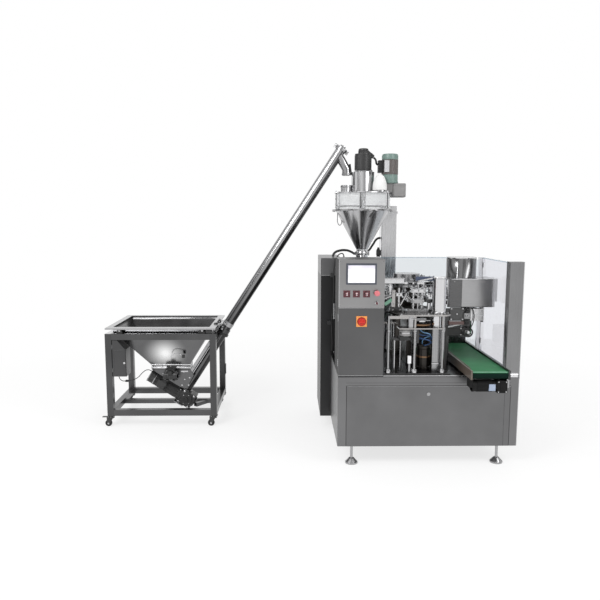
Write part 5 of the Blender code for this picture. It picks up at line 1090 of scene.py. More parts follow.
def finish_tube():
    refined("conveyor_tube", TUBE_STEEL, [
        # painted shade on the tube's underside
        (TUBE_UNDERSIDE_SHADE, lambda place, normal: normal.dot(TUBE_SIDE) > 0.25 and place.x < 0.10
         and (place - TUBE_FOOT).dot(TUBE_AXIS) > 0.0),
        (BOOT_STEEL, lambda place, normal: place.x < -1.285 and place.z < 0.500),
        (SPOUT_STEEL, lambda place, normal: place.x > 0.085 and place.z < 2.545
         and normal.dot(TUBE_AXIS) < 0.3 and (place - TUBE_FOOT).cross(TUBE_AXIS).length > 0.0485),
    ])
    refined("tube_cap", BRIGHT)
    refined("conveyor_screw", TURNED)
    top = TUBE_FOOT + TUBE_AXIS * 2.040
    flange = turned("top_flange", [(0.056, -0.012), (0.061, -0.010), (0.061, 0.002), (0.056, 0.004)],
                    top - TUBE_AXIS * 0.004, TURNED, TUBE_AXIS, 48)
    nuts = []
    for turn in range(0, 360, 60):
        side = Matrix.Rotation(math.radians(turn + 20), 3, TUBE_AXIS) @ TUBE_SIDE
        nuts.append(bolt("cap_bolt", top + side * 0.050 + TUBE_AXIS * 0.0145, TUBE_AXIS, 0.0042, TURNED))
    nuts.append(bolt("cap_nut", top + TUBE_AXIS * 0.030, TUBE_AXIS, 0.010, TURNED, 0.010))
    assembled("cap_fittings", [flange, *nuts], "feeder")

    strip = beam("spout_strip", (0.208, 1.25, 2.352), (0.193, 1.25, 2.452), 0.014, 0.050, RUBBER, 0.004)
    cuff = turned("spout_cuff", [(0.0425, 2.349), (0.0445, 2.351), (0.0445, 2.361), (0.0425, 2.363)],
                  INLET_MIDDLE, TURNED, sides=36)
    assembled("spout_trim", [strip, cuff], "feeder")

    rail = beam("trough_bar", (-1.339, 1.182, 0.455), (-1.137, 1.182, 0.768), 0.030, 0.020, STAY_STEEL,
                0.003)
    lip = beam("trough_lip", (-1.312, 1.178, 0.452), (-1.112, 1.178, 0.762), 0.006, 0.014, EDGE_STEEL)
    foot = block("bar_foot", (-1.372, 1.168, 0.430), (-1.318, 1.200, 0.462), BRIGHT, 0.004)
    bolts = [bolt("bar_bolt", (x, 1.172, z), FRONT, 0.007, TURNED)
             for x, z in ((-1.357, 0.445), (-1.333, 0.447), (-1.300, 0.514), (-1.170, 0.716))]
    assembled("trough_side_bar", [rail, lip, foot, *bolts], "feeder")

    ring = turned("lower_flange", [(0.0485, -0.012), (0.0630, -0.011), (0.0630, 0.011), (0.0485, 0.012)],
                  TUBE_FOOT - TUBE_AXIS * 0.045, BLACK, TUBE_AXIS, 40)
    band = turned("clamp_band", [(0.0485, -0.022), (0.0530, -0.021), (0.0530, 0.021), (0.0485, 0.022)],
                  TUBE_FOOT + TUBE_AXIS * 0.062, TURNED, TUBE_AXIS, 40)
    knobs = []
    for x, z in ((-1.084, 0.934), (-1.012, 0.915), (-1.046, 0.962)):
        knobs.append(turned("clamp_knob", [(0.009, 0.0), (0.017, 0.002), (0.019, 0.010), (0.017, 0.018),
                                           (0.008, 0.021)], (x, 1.192, z), BLACK, FRONT, 10))
        knobs.append(turned("clamp_stud", [(0.006, -0.02), (0.006, 0.026), (0.004, 0.028)],
                            (x, 1.192, z), BRIGHT, FRONT, 12))
    plate = beam("clamp_plate", (-1.098, 1.203, 0.900), (-1.040, 1.203, 0.985), 0.022, 0.010, TURNED)
    ear = beam("clamp_ear", (-1.032, 1.201, 0.880), (-0.990, 1.201, 0.945), 0.020, 0.008, TURNED)
    assembled("tube_clamp", [ring, band, *knobs, plate, ear], "feeder")

    boot_bolts = [bolt("boot_bolt", (x, 1.1595, z), FRONT, 0.006, BRIGHT)
                  for x, z in ((-1.412, 0.345), (-1.350, 0.345), (-1.385, 0.402), (-1.338, 0.418),
                               (-1.445, 0.440), (-1.392, 0.476))]
    rim = beam("boot_rim", (-1.420, 1.1595, 0.480), (-1.352, 1.1595, 0.480), 0.012, 0.006, BRIGHT, 0.0015)
    assembled("boot_fittings", [*boot_bolts, rim], "feeder")


# Feeder on its casters

def wheel_hubs(node):
    """Bright discs on both sides of a wheel, which turn with it."""
    low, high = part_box(node)
    middle = (low + high) / 2 - CORNER
    discs = [turned("wheel_hub", [(0.013, 0.0), (0.013, 0.0010), (0.009, 0.0022), (0.004, 0.0024)],
                    (middle.x, side, middle.z), TURNED, way, 24)
             for side, way in ((low.y - CORNER.y, FRONT), (high.y - CORNER.y, -FRONT))]
    assembled(node + "_hubs", discs, node)


def finish_feeder():
    middle = sum(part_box("feeder_hopper"), Vector()) / 2 - CORNER
    refined("feeder_frame", FRAME_STEEL, [
        (FRAME_STEEL_X, lambda place, normal: normal.z > 0.9 or abs(normal.z) < 0.1 and (
            place.z < 0.17 or 0.82 < place.z < 0.886)),
        # painted highlight: the top faces of the top rail take bright steel
        (BRIGHT, lambda place, normal: normal.z > 0.9 and place.z > 0.88),
        (CASTER_BLACK, lambda place, normal: place.z < 0.104),
    ])
    refined("feeder_hopper", HOPPER_STEEL, [
        # painted shade on the hopper's inside faces
        (HOPPER_INSIDE_SHADE, lambda place, normal: normal.z > 0.2 or (place - middle).dot(normal) < -0.01),
        (RIM_STEEL, lambda place, normal: place.z > 0.9225 and (normal.z > 0.9 or normal.y < -0.9)),
        (RUBBER, lambda place, normal: place.z < 0.9225 and place.z > 0.88 and abs(normal.z) < 0.1
         and place.y < 0.99 and (place.x < -1.91 or place.x > -1.21)),
    ])
    refined("feeder_control_box", BOX_STEEL, edge=0.0015)
    refined("feeder_gearmotor", MOTOR_BLACK, edge=0.0015)
    refined("hopper_vibrator", MOTOR_BLACK, edge=0.0015)
    refined("cable_switch", BLACK, edge=0.002)
    for side in ("left", "right"):
        refined("caster_fork_front_" + side, CASTER_BLACK)
        for end in ("front", "rear"):
            node = f"caster_wheel_{end}_{side}"
            refined(node, RUBBER, edge=0.0015)
            wheel_hubs(node)

    fins = turned("drive_fins", [(0.0640, 0.0), (0.0665, 0.002), (0.0665, 0.246), (0.0640, 0.248)],
                  DRIVE_AT - TUBE_SIDE * 0.302, MOTOR_BLACK, TUBE_SIDE, 44)
    start = DRIVE_AT - TUBE_SIDE * 0.302
    grooved(fins, lambda place, normal: abs(normal.dot(TUBE_SIDE)) < 0.1
            and 0.01 < (place - start).dot(TUBE_SIDE) < 0.24, 0.0022, 0.0030)
    cover_rings = [
        turned("fan_ring", [(0.0672, 0.0), (0.0690, 0.002), (0.0690, 0.008), (0.0672, 0.010)],
               DRIVE_AT - TUBE_SIDE * reach, TURNED, TUBE_SIDE, 44)
        for reach in (0.312, 0.371)
    ]
    grille = turned("fan_grille", [(0.060, 0.0), (0.060, 0.003), (0.052, 0.003), (0.052, 0.001),
                                   (0.044, 0.001), (0.044, 0.003), (0.034, 0.003), (0.034, 0.001),
                                   (0.024, 0.001), (0.024, 0.004), (0.010, 0.004)],
                    DRIVE_AT - TUBE_SIDE * 0.3625, BLACK, -TUBE_SIDE, 36)
    flange = turned("drive_flange", [(0.068, 0.0), (0.0765, 0.002), (0.0765, 0.012), (0.068, 0.014)],
                    DRIVE_AT - TUBE_SIDE * 0.038, BLACK, TUBE_SIDE, 8)
    bolts = []
    for turn in (45, 135, 225, 315):
        out = Matrix.Rotation(math.radians(turn), 3, TUBE_SIDE) @ TUBE_AXIS
        bolts.append(bolt("drive_bolt", DRIVE_AT - TUBE_SIDE * 0.038 + out * 0.069, -TUBE_SIDE, 0.006, BRIGHT,
                          0.008))
    box_lid = framed_block("drive_box_lid", (-1.632, 1.154, 0.330), (-1.562, 1.162, 0.392), 0.006, 0.0015,
                           BLACK)
    gear_lid = turned("gear_lid", [(0.050, 0.0), (0.054, 0.003), (0.054, 0.010), (0.040, 0.013),
                                   (0.020, 0.013), (0.018, 0.022), (0.010, 0.024)],
                      DRIVE_AT + TUBE_SIDE * 0.054 + FRONT * 0.0648, BLACK, FRONT, 36)
    round_lid = turned("gear_side_lid", [(0.052, 0.0), (0.052, 0.008), (0.044, 0.012), (0.020, 0.014)],
                       DRIVE_AT + TUBE_SIDE * 0.1285, BLACK, TUBE_SIDE, 36)
    for turn in range(0, 360, 60):
        out = Matrix.Rotation(math.radians(turn), 3, FRONT) @ TUBE_AXIS
        bolts.append(bolt("gear_bolt", DRIVE_AT + TUBE_SIDE * 0.054 + out * 0.047 + FRONT * 0.0745, FRONT,
                          0.0042, BRIGHT))
    ridges = []
    for along, side in ((0.062, 0.0), (-0.062, 0.0), (0.062, 0.105), (-0.062, 0.105)):
        corner = DRIVE_AT + TUBE_AXIS * along + TUBE_SIDE * side + FRONT * 0.0655
        ridges.append(turned("gear_boss", [(0.011, 0.0), (0.011, 0.006), (0.008, 0.008)], corner, TURNED,
                             FRONT, 16))
        ridges.append(bolt("boss_bolt", corner + FRONT * 0.008, FRONT, 0.0055, BRIGHT))
    silver = beam("drive_bracket", DRIVE_AT - TUBE_SIDE * 0.040 - TUBE_AXIS * 0.076 + FRONT * 0.050,
                  DRIVE_AT + TUBE_SIDE * 0.060 - TUBE_AXIS * 0.077 + FRONT * 0.050, 0.012, 0.060, BRIGHT)
    assembled("drive_details", [fins, *cover_rings, grille, flange, box_lid, gear_lid, round_lid, silver,
                                *ridges, *bolts], "feeder")

    parts = []
    for x, out in ((-1.574, -1.0), (-1.446, 1.0)):
        way = RIGHT * out
        cap = [(0.0432, 0.0), (0.0450, 0.002), (0.0450, 0.014), (0.0380, 0.018)]
        parts.append(turned("vibrator_cap", cap, (x - out * 0.017, 1.113, 0.452), BLACK, way, 32))
        for turn in range(0, 360, 90):
            place = Vector((x + out * 0.0012, 1.113 + 0.032 * math.cos(math.radians(turn + 45)),
                            0.452 + 0.032 * math.sin(math.radians(turn + 45))))
            parts.append(bolt("vibrator_screw", place, way, 0.004, BRIGHT))
    rib = [(0.0385, 0.0), (0.0415, 0.001), (0.0415, 0.004), (0.0385, 0.005)]
    for x in (-1.548, -1.530, -1.512, -1.494, -1.476):
        parts.append(turned("vibrator_rib", rib, (x, 1.113, 0.452), MOTOR_BLACK, RIGHT, 32))
    for x, z in ((-1.540, 0.406), (-1.480, 0.406), (-1.540, 0.500), (-1.480, 0.500)):
        parts.append(block("vibrator_foot", (x - 0.010, 1.090, z - 0.007), (x + 0.010, 1.150, z + 0.007),
                           MOTOR_BLACK, 0.003))
    parts.append(framed_block("vibrator_box", (-1.530, 1.060, 0.470), (-1.490, 1.090, 0.500), 0.004, 0.001,
                              BLACK))
    assembled("vibrator_details", parts, "feeder")

    lip = block("outlet_flange_top", (-1.707, 1.158, 0.541), (-1.328, 1.166, 0.549), EDGE_STEEL, 0.0015)
    low = block("outlet_flange_low", (-1.707, 1.156, 0.512), (-1.328, 1.166, 0.520), EDGE_STEEL, 0.0015)
    flange_bolts = [bolt("outlet_bolt", (x, 1.158, 0.530), FRONT, 0.005, TURNED)
                    for x in (-1.690, -1.600, -1.518, -1.436, -1.345)]
    arch = bent_wire("inspection_rim", [
        (-1.500, 1.081, 0.632), (-1.480, 1.065, 0.664), (-1.440, 1.060, 0.676), (-1.400, 1.065, 0.664),
        (-1.380, 1.081, 0.632),
    ], 0.004, EDGE_STEEL)
    stop = block("rim_catch", (-1.392, 1.060, 0.632), (-1.368, 1.090, 0.660), BLACK, 0.003)
    feet = []
    for x in (-1.961, -1.201):
        feet.append(block("hopper_pad", (x - 0.006, 0.9555, 0.886), (x + 0.046, 0.988, 0.903), RUBBER, 0.003))
        feet.append(bolt("pad_bolt", (x + 0.020, 0.9565, 0.912), FRONT, 0.007, BRIGHT))
    ties = block("corner_box", (-1.150, 0.9555, 0.8865), (-1.094, 1.000, 0.916), BLACK, 0.004)
    assembled("hopper_fittings", [lip, low, *flange_bolts, arch, stop, *feet, ties], "feeder")

    for x, trail in ((-2.047, -2.075), (-1.085, -1.1135)):
        for y, end in ((0.979, "front"), (1.741, "rear")):
            race = turned("swivel_race", [(0.024, 0.078), (0.028, 0.081), (0.028, 0.090), (0.024, 0.0955)],
                          (x, y, 0.0), CASTER_BLACK, UP, 28)
            cheeks = [beam("fork_cheek", (trail, y + side * 0.0155, 0.030), (x, y + side * 0.0155, 0.086),
                           0.026, 0.0045, CASTER_BLACK, 0.0015) for side in (-1, 1)]
            axle = [bolt("axle_nut", (trail, y + side * 0.0175, 0.0315), FRONT * -side, 0.006, BRIGHT)
                    for side in (-1, 1)]
            side_name = "left" if x < -1.5 else "right"
            body = f"caster_fork_front_{side_name}" if end == "front" else "feeder"
            assembled(f"caster_parts_{end}_{side_name}", [race, *cheeks, *axle], body)

    hinges = [bar_between("box_hinge", (-2.0175, 0.9635, z), (-2.0175, 0.9635, z + 0.040), 0.004, TURNED)
              for z in (0.520, 0.740)]
    lid = framed_block("box_lid", (-2.010, 0.9560, 0.488), (-1.900, 0.9625, 0.730), 0.010, 0.0015, BOX_STEEL)
    lock = turned("box_lock", [(0.010, 0.0), (0.010, 0.003), (0.006, 0.005)],
                  (-1.905, 0.956, 0.610), BRIGHT, FRONT, 20)
    gland = turned("box_gland", [(0.010, 0.0), (0.010, 0.010), (0.006, 0.016)],
                   (-1.985, 1.050, 0.479), BLACK, -UP, 12)
    assembled("box_details", [*hinges, lid, lock, gland], "feeder")

    clips = [block("post_clip", (-1.060, 1.700, z), (-1.046, 1.740, z + 0.052), BLACK, 0.003)
             for z in (0.372, 0.318)]
    plates = []
    for x in (-2.047, -1.085):
        for y in (0.979, 1.741):
            plates.append(block("caster_plate", (x - 0.033, y - 0.026, 0.0965),
                                (x + 0.033, y + 0.026, 0.104), CASTER_BLACK, 0.002))
            plates += [bolt("caster_bolt", (x + dx, y + dy, 0.0965), -UP, 0.0045, BRIGHT)
                       for dx in (-0.026, 0.026) for dy in (-0.019, 0.019)]
    assembled("frame_details", [*clips, *plates], "feeder")


# Base, table, windows and cabinets

def finish_base():
    refined("base_cabinet", PANEL, [
        (PANEL_UPRIGHT, lambda place, normal: place.x > 1.30 and normal.y < -0.9 or abs(normal.x) > 0.9),
        (POST_STEEL, lambda place, normal: place.z > 0.735),
        # painted light on the rear posts
        (REAR_POST_LIT, lambda place, normal: place.z > 0.735 and place.y > 0.5),
    ])
    painted("table_plate", DARK_SHEET)
    painted("front_panel", FRONT_PANEL)
    painted("side_window", SIDE_CLEAR)
    painted("back_window", WINDOW_CLEAR)
    refined("front_panel_latch", TURNED)
    for end in ("front", "rear"):
        for side in ("left", "right"):
            refined(f"levelling_foot_{end}_{side}", TURNED)
    refined("electrical_cabinet", ELECTRIC_STEEL, [
        (ELECTRIC_TOP, lambda place, normal: place.z > 1.43),
    ], cuts=[((0.0, 0.0, 1.43), UP)])

    # painted highlights: thin bright strips along the table's front edge and along the top of the front panel
    edge = block("table_edge_highlight", (0.352, -0.0015, 0.7225), (1.300, 0.0035, 0.7275), EDGE_STEEL, 0.001)
    panel_top = block("panel_edge", (0.070, -0.0012, 0.6405), (1.348, 0.0030, 0.6425), EDGE_STEEL, 0.0008)
    assembled("base_edge_highlights", [edge], "machine")
    assembled("panel_top_highlight", [panel_top], "front_panel")

    lines = [block("base_fold", (0.066, -0.0010, z), (1.350, 0.002, z + 0.0018), SEAM, 0.0006)
             for z in (0.6455, 0.668)]
    lines.append(block("base_fold", (0.0655, -0.0010, 0.160), (0.0672, 0.002, 0.6455), SEAM, 0.0006))
    assembled("base_seams", lines, "machine")

    # the first strip is a dark seam line, the second a painted highlight down the guard post's edge
    post_edges = [block("post_edge", (x, -0.0008, 0.160), (x + 0.0022, 0.004, 1.605), finish, 0.0008)
                  for x, finish in ((1.3035, SEAM), (1.410, EDGE_STEEL))]
    hinge = [bar_between("window_hinge", (1.392, 0.9205, z), (1.392, 0.9205, z + 0.050), 0.0065, TURNED)
             for z in (0.80, 1.15, 1.50)]
    assembled("guard_post_details", [*post_edges, *hinge], "machine")

    handle = block("window_handle", (1.378, 0.100, 1.120), (1.3845, 0.118, 1.240), BLACK, 0.003)
    rims = [block("window_rim", (1.3845, 0.076, z), (1.392, 0.925, z + 0.008), RIM_CLEAR, 0.001)
            for z in (0.7315, 1.583)]
    assembled("side_window_trim", [handle, *rims], "side_window")
    clamps = [block("pane_clamp", (x, 1.480, z), (x + 0.024, 1.487, z + 0.034), TURNED, 0.002)
              for x in (0.420, 1.330) for z in (0.760, 1.500)]
    rim = block("back_rim", (0.112, 1.4865, 1.5565), (1.390, 1.4945, 1.5635), RIM_CLEAR, 0.001)
    assembled("back_window_trim", [*clamps, rim], "machine")

    # painted highlight: a bright line along the seam under the cabinet's top section
    seam = block("cabinet_seam", (-0.0895, 0.8845, 1.429), (0.000, 0.8875, 1.432), EDGE_STEEL, 0.0008)
    handles = [framed_block("cabinet_handle", (0.024, 0.866, low), (0.040, 0.8855, high), 0.003, 0.001,
                            BRIGHT)
               for low, high in ((1.035, 1.178), (0.660, 0.737))]
    clips = [block("cable_clip", (x - 0.016, 0.868, z - 0.018), (x + 0.016, 0.8855, z + 0.018), BLACK, 0.003)
             for x, z in ((0.010, 1.432), (-0.014, 1.000))]
    gland = turned("cable_gland", [(0.010, 0.0), (0.010, 0.005), (0.0075, 0.010)], (0.118, 0.930, 1.5885),
                   BLACK, UP, 12)
    lock = turned("cabinet_lock", [(0.014, 0.0), (0.014, 0.004), (0.009, 0.007)],
                  (0.034, 0.885, 0.420), BRIGHT, FRONT, 20)
    strip = block("cabinet_edge", (-0.0905, 0.8840, 0.125), (-0.0865, 0.8880, 1.585), SEAM, 0.0008)
    assembled("electrical_cabinet_details", [seam, *handles, *clips, gland, lock, strip], "machine")


def inside_square(place, x, z, half):
    return abs(place.x - x) < half and abs(place.z - z) < half


SELECTORS = (0.061, 0.135, 0.212)
SELECTOR_ROW = 1.364
STOP = (0.289, 1.371)
KEY = (0.291, 1.294)
MAIN = (0.177, 1.152)
SCREEN_BAR_Z = 1.555


def on_display(place, normal):
    """The sunk field of the touch screen."""
    return normal.y < -0.9 and -0.0078 < place.y < -0.006


def knob_cap(name, x, z, front, radius, material, rim):
    """A pressed-in cap with a rounded rim on the front of a knob."""
    return turned(name, [(radius * 0.94, 0.0), (radius, 0.0012), (radius * 0.98, 0.003),
                         (radius * 0.80, rim), (radius * 0.3, rim * 0.8)], (x, front, z), material, FRONT, 32)


def finish_cabinet():
    refined("control_cabinet", CABINET, [
        # painted shade on the cabinet's left side
        (CABINET_SIDE_SHADE, lambda place, normal: normal.x < -0.9),
    ], edge=0.0015)
    refined("control_panel", CONTROL_PANEL, [
        (MAROON, lambda place, normal: place.y < -0.0005
         and any(inside_square(place, x, SELECTOR_ROW, 0.0268) for x in SELECTORS)),
        (BRIGHT, lambda place, normal: place.y < -0.0005 and place.x > 0.262 and place.z < 1.33),
        (DARK_ROD, lambda place, normal: place.y < -0.0005 and place.x > 0.262 and place.z > 1.33),
    ])
    refined("cabinet_door", CABINET_DOOR, [
        (ORANGE, lambda place, normal: place.y < -0.0005 and inside_square(place, *MAIN, 0.042)),
    ])
    refined("touch_screen", BEZEL_GREY, [
        (SCREEN_WHITE, lambda place, normal: on_display(place, normal) and place.z < SCREEN_BAR_Z),
        (SCREEN_BAR, lambda place, normal: on_display(place, normal) and place.z > SCREEN_BAR_Z),
    ], cuts=[((0.0, 0.0, SCREEN_BAR_Z), UP)])
    for side in ("left", "middle", "right"):
        refined("selector_switch_" + side, MAROON, edge=0.0012)
    refined("emergency_stop", PALE_RED, edge=0.0008)
    refined("key_switch", MAROON, edge=0.0006)
    refined("main_switch", RED, edge=0.0015)

    # painted highlights: bright strips along the gap between panel and door and along the cabinet's foot
    strip = block("door_gap_highlight", (0.002, -0.0025, 1.2547), (0.348, 0.0172, 1.2573), EDGE_STEEL, 0.0006)
    foot = block("cabinet_foot_highlight", (0.002, -0.0015, 0.7285), (0.348, 0.0172, 0.7308), EDGE_STEEL, 0.0006)
    brackets = [
        block("side_guide_plate", (0.3502, 0.255, 1.419), (0.545, 0.335, 1.458), PALE_STEEL, 0.003),
        block("side_guide_lip", (0.3502, 0.249, 1.452), (0.548, 0.258, 1.464), BRIGHT, 0.002),
    ]
    assembled("cabinet_trim", [strip, foot, *brackets], "machine")

    plate_rims = [framed_block("legend_rim", (x - 0.026, -0.0056, SELECTOR_ROW - 0.026),
                               (x + 0.026, -0.0038, SELECTOR_ROW + 0.026), 0.003, 0.0008, MAROON, 0.0006)
                  for x in SELECTORS]
    collars = [turned("selector_collar", [(0.0190, 0.0), (0.0190, 0.0022), (0.0172, 0.003)],
                      (x, -0.0042, SELECTOR_ROW), DARK_ROD, FRONT, 32) for x in SELECTORS]
    stop_ring = turned("stop_ring", [(0.0205, 0.0), (0.0205, 0.003), (0.0170, 0.005), (0.0165, 0.0125)],
                       (STOP[0], -0.0002, STOP[1]), DARK_ROD, FRONT, 32)
    key_ring = turned("key_ring", [(0.0158, 0.0), (0.0158, 0.003), (0.0132, 0.006)],
                      (KEY[0], -0.0002, KEY[1]), BRIGHT, FRONT, 32)
    screws = [bolt("panel_screw", (x, -0.0002, z), FRONT, 0.0035, TURNED)
              for x in (0.012, 0.338) for z in (1.272, 1.612)]
    # painted highlight: a bright strip down the panel's left edge
    side_strip = block("panel_side_highlight", (0.0022, -0.0012, 1.262), (0.0046, 0.0020, 1.617), EDGE_STEEL,
                       0.0006)
    assembled("panel_plates", [*plate_rims, *collars, stop_ring, key_ring, *screws, side_strip],
              "control_panel")
    main_rim = framed_block("main_plate_rim", (MAIN[0] - 0.0405, -0.0078, MAIN[1] - 0.0405),
                            (MAIN[0] + 0.0405, -0.0058, MAIN[1] + 0.0405), 0.004, 0.001, ORANGE, 0.0008)
    main_ring = turned("main_ring", [(0.0345, 0.0), (0.0345, 0.0018), (0.0320, 0.0030)],
                       (MAIN[0], -0.0072, MAIN[1]), DARK_RED, FRONT, 40)
    hinges = [bar_between("door_hinge", (0.0, 0.018, z), (0.0, 0.018, z + 0.055), 0.0045, TURNED)
              for z in (0.80, 1.15)]
    assembled("door_fittings", [main_rim, main_ring, *hinges], "cabinet_door")

    for x, side in zip(SELECTORS, ("left", "middle", "right")):
        body = "selector_switch_" + side
        cap = knob_cap("selector_cap", x, SELECTOR_ROW, -0.0198, 0.0112, KNOB_PINK, 0.004)
        mark = block("selector_mark", (x - 0.0015, -0.0302, SELECTOR_ROW - 0.012),
                     (x + 0.0015, -0.0285, SELECTOR_ROW + 0.012), WHITE_PLASTIC, 0.0005)
        assembled(body + "_cap", [cap, mark], body)
    dome = turned("stop_dome", [(0.0200, 0.0), (0.0212, 0.002), (0.0205, 0.005), (0.0150, 0.0075),
                                (0.006, 0.0085)], (STOP[0], -0.0325, STOP[1]), PALE_RED, FRONT, 36)
    assembled("stop_cap", [dome], "emergency_stop")
    main_cap = turned("main_cap", [(0.0262, 0.0), (0.0275, 0.0015), (0.0262, 0.0040), (0.0200, 0.0050),
                                   (0.0190, 0.0030), (0.0080, 0.0030)], (MAIN[0], -0.0255, MAIN[1]), RED,
                      FRONT, 40)
    assembled("main_cap", [main_cap], "main_switch")


# Belt conveyor

def finish_belt():
    # painted shade on the belt's sides and front
    refined("belt", BELT_GREEN, [(BELT_SHADE, lambda place, normal: normal.z < 0.75)])
    refined("belt_frame", RAIL_BLACK, [
        (RAIL_BROWN, lambda place, normal: place.x < 0.9885),
        (DARK_SHEET, lambda place, normal: 0.990 < place.x < 1.255),
    ], edge=0.001)
    refined("belt_motor", BELT_MOTOR, [(TURNED, lambda place, normal: place.x > 1.258)], edge=0.0015)
    refined("drive_roller", TURNED, [(EDGE_STEEL, lambda place, normal: place.x > 1.285)])
    refined("tail_roller", TURNED)
    body = turned("belt_motor_fins", [(0.0442, 0.0), (0.0462, 0.001), (0.0462, 0.120), (0.0442, 0.121)],
                  (1.030, -0.136, 0.684), BELT_MOTOR, RIGHT, 36)
    grooved(body, lambda place, normal: abs(normal.x) < 0.1 and 1.035 < place.x < 1.146, 0.0018, 0.0016)
    end = turned("belt_motor_end", [(0.0445, 0.0), (0.0465, 0.002), (0.0465, 0.016), (0.0380, 0.020)],
                 (1.015, -0.136, 0.684), BELT_MOTOR, -RIGHT, 36)
    patch = framed_block("bare_plate", (1.118, -0.1845, 0.654), (1.166, -0.1600, 0.704), 0.002, 0.0005,
                         BARE_PLATE, 0.0008)
    box = framed_block("belt_motor_box", (1.205, -0.186, 0.655), (1.250, -0.1825, 0.715), 0.004, 0.001,
                       BELT_MOTOR)
    screws = [bolt("belt_gear_bolt", (x, -0.1838, z), FRONT, 0.004, BRIGHT)
              for x in (1.190, 1.2475) for z in (0.646, 0.722)]
    assembled("belt_motor_details", [body, end, patch, box, *screws], "machine")

    ends = [block("roller_plate", (x, -0.1950, 0.748), (x + 0.0135, -0.150, 0.806), finish, 0.002)
            for x, finish in ((0.9735, RAIL_BROWN), (1.2575, STAY_STEEL))]
    bolts = [bolt("roller_bolt", (x, -0.1946, 0.7725), FRONT, 0.005, BRIGHT) for x in (0.9800, 1.2642)]
    guides = [block("belt_guide", (0.9875, -0.120, 0.8115), (0.9925, 0.900, 0.8165), RAIL_BROWN, 0.001),
              block("belt_guide", (1.2535, -0.120, 0.8115), (1.2585, 0.900, 0.8165), RAIL_BLACK, 0.001)]
    feet = [block("belt_foot", (x, y, 0.7285), (x + 0.030, y + 0.035, 0.743), BLACK, 0.002)
            for x in (0.975, 1.242) for y in (0.10, 0.78)]
    stop = block("belt_end_stop", (0.982, 0.9555, 0.790), (1.264, 0.9625, 0.972), DARK_SHEET, 0.002)
    # painted highlight: a pale green strip along the belt's front edge over the roller
    lap = block("belt_highlight", (0.9905, -0.188, 0.7975), (1.2545, -0.182, 0.8000), BELT_HIGHLIGHT, 0.0008)
    assembled("belt_highlight_line", [lap], "machine")
    assembled("belt_trim", [*ends, *bolts, *guides, *feet, stop], "machine")


# Turret with its gripper stations

def station_spot(radius, across, height):
    """A place of the station at the turret's right, by its distance out, to the side and up."""
    return TURRET + Vector((radius, across, height))


ALL_STATIONS = tuple(range(45, 360, 45))


def gripper_hand(side, ring_top, ring_z, drop_radius):
    """One hand of a station: head with jaw and pad, links, spring, joints and clamp blocks."""
    line = side * 0.075
    aside = Vector((0.0, side, 0.0))
    parts = [
        block("gripper_head", station_spot(0.492, line - 0.013, 1.256),
              station_spot(0.528, line + 0.013, 1.300), CHROME, 0.003),
        block("gripper_jaw", station_spot(0.524, line - 0.010, 1.262),
              station_spot(0.541, line + 0.010, 1.288), TURNED, 0.002),
        block("gripper_pad", station_spot(0.530, line - side * 0.012 - 0.003, 1.264),
              station_spot(0.541, line - side * 0.012 + 0.003, 1.286), RUBBER, 0.001),
        block("arm_clamp", station_spot(0.398, line - 0.012, 1.255), station_spot(0.430, line + 0.012, 1.297),
              BRIGHT, 0.003),
        block("drop_cap", station_spot(drop_radius - 0.004, line - 0.017, 1.292),
              station_spot(drop_radius + 0.026, line + 0.017, 1.318), CHROME, 0.003),
    ]
    links = [
        ((drop_radius + 0.030, line, ring_top - 0.012), (0.500, line, 1.303), 0.0048),
        ((0.412, line + side * 0.010, 1.296), (0.412, line + side * 0.010, ring_z), 0.0060),
        ((0.440, line - side * 0.006, 1.262), (0.500, line - side * 0.006, 1.345), 0.0038),
        ((0.372, line, 1.300), (0.372, line, 1.345), 0.0040),
    ]
    parts += [bar_between("link", station_spot(*start), station_spot(*end), radius, CHROME)
              for start, end, radius in links]
    coil = [(0.0060, 0.0), (0.0078, 0.001), (0.0078, 0.0035), (0.0060, 0.0045)]
    parts += [turned("spring_turn", coil, station_spot(0.372, line, height), BRIGHT, UP, 12)
              for height in (1.302, 1.309, 1.316, 1.323, 1.330, 1.337)]
    screws = [(0.500, line, 1.303, UP), (0.412, line + side * 0.012, 1.276, aside),
              (0.508, line + side * 0.013, 1.278, aside)]
    parts += [bolt("link_bolt", station_spot(radius, across, height), way, 0.0070, BRIGHT, 0.008)
              for radius, across, height, way in screws]
    ball = turned("link_joint", [(0.004, -0.010), (0.009, -0.006), (0.0105, 0.0), (0.009, 0.006),
                                 (0.004, 0.010)], station_spot(0.470, line, 1.325), CHROME, RIGHT, 12)
    foot = turned("joint_collar", [(0.0065, 0.0), (0.0100, 0.002), (0.0100, 0.012), (0.0065, 0.014)],
                  station_spot(0.412, line + side * 0.010, ring_z - 0.022), TURNED, UP, 16)
    return parts + [ball, foot]


def ring_trim(radius, low, high, parts_at):
    """Edge bead of a gripper ring and one pair of its bolts."""
    bead = turned("ring_bead", [(radius - 0.004, low + 0.002), (radius + 0.0012, low + 0.004),
                                (radius + 0.0012, high - 0.003), (radius - 0.004, high + 0.0006)],
                  (TURRET.x, TURRET.y, 0.0), CHROME, UP, 96)
    screw = bolt("ring_bolt", station_spot(parts_at, 0.030, high), UP, 0.0060, TURNED)
    others = bolt("ring_bolt", station_spot(parts_at, -0.030, high), UP, 0.0060, TURNED)
    return bead, screw, others


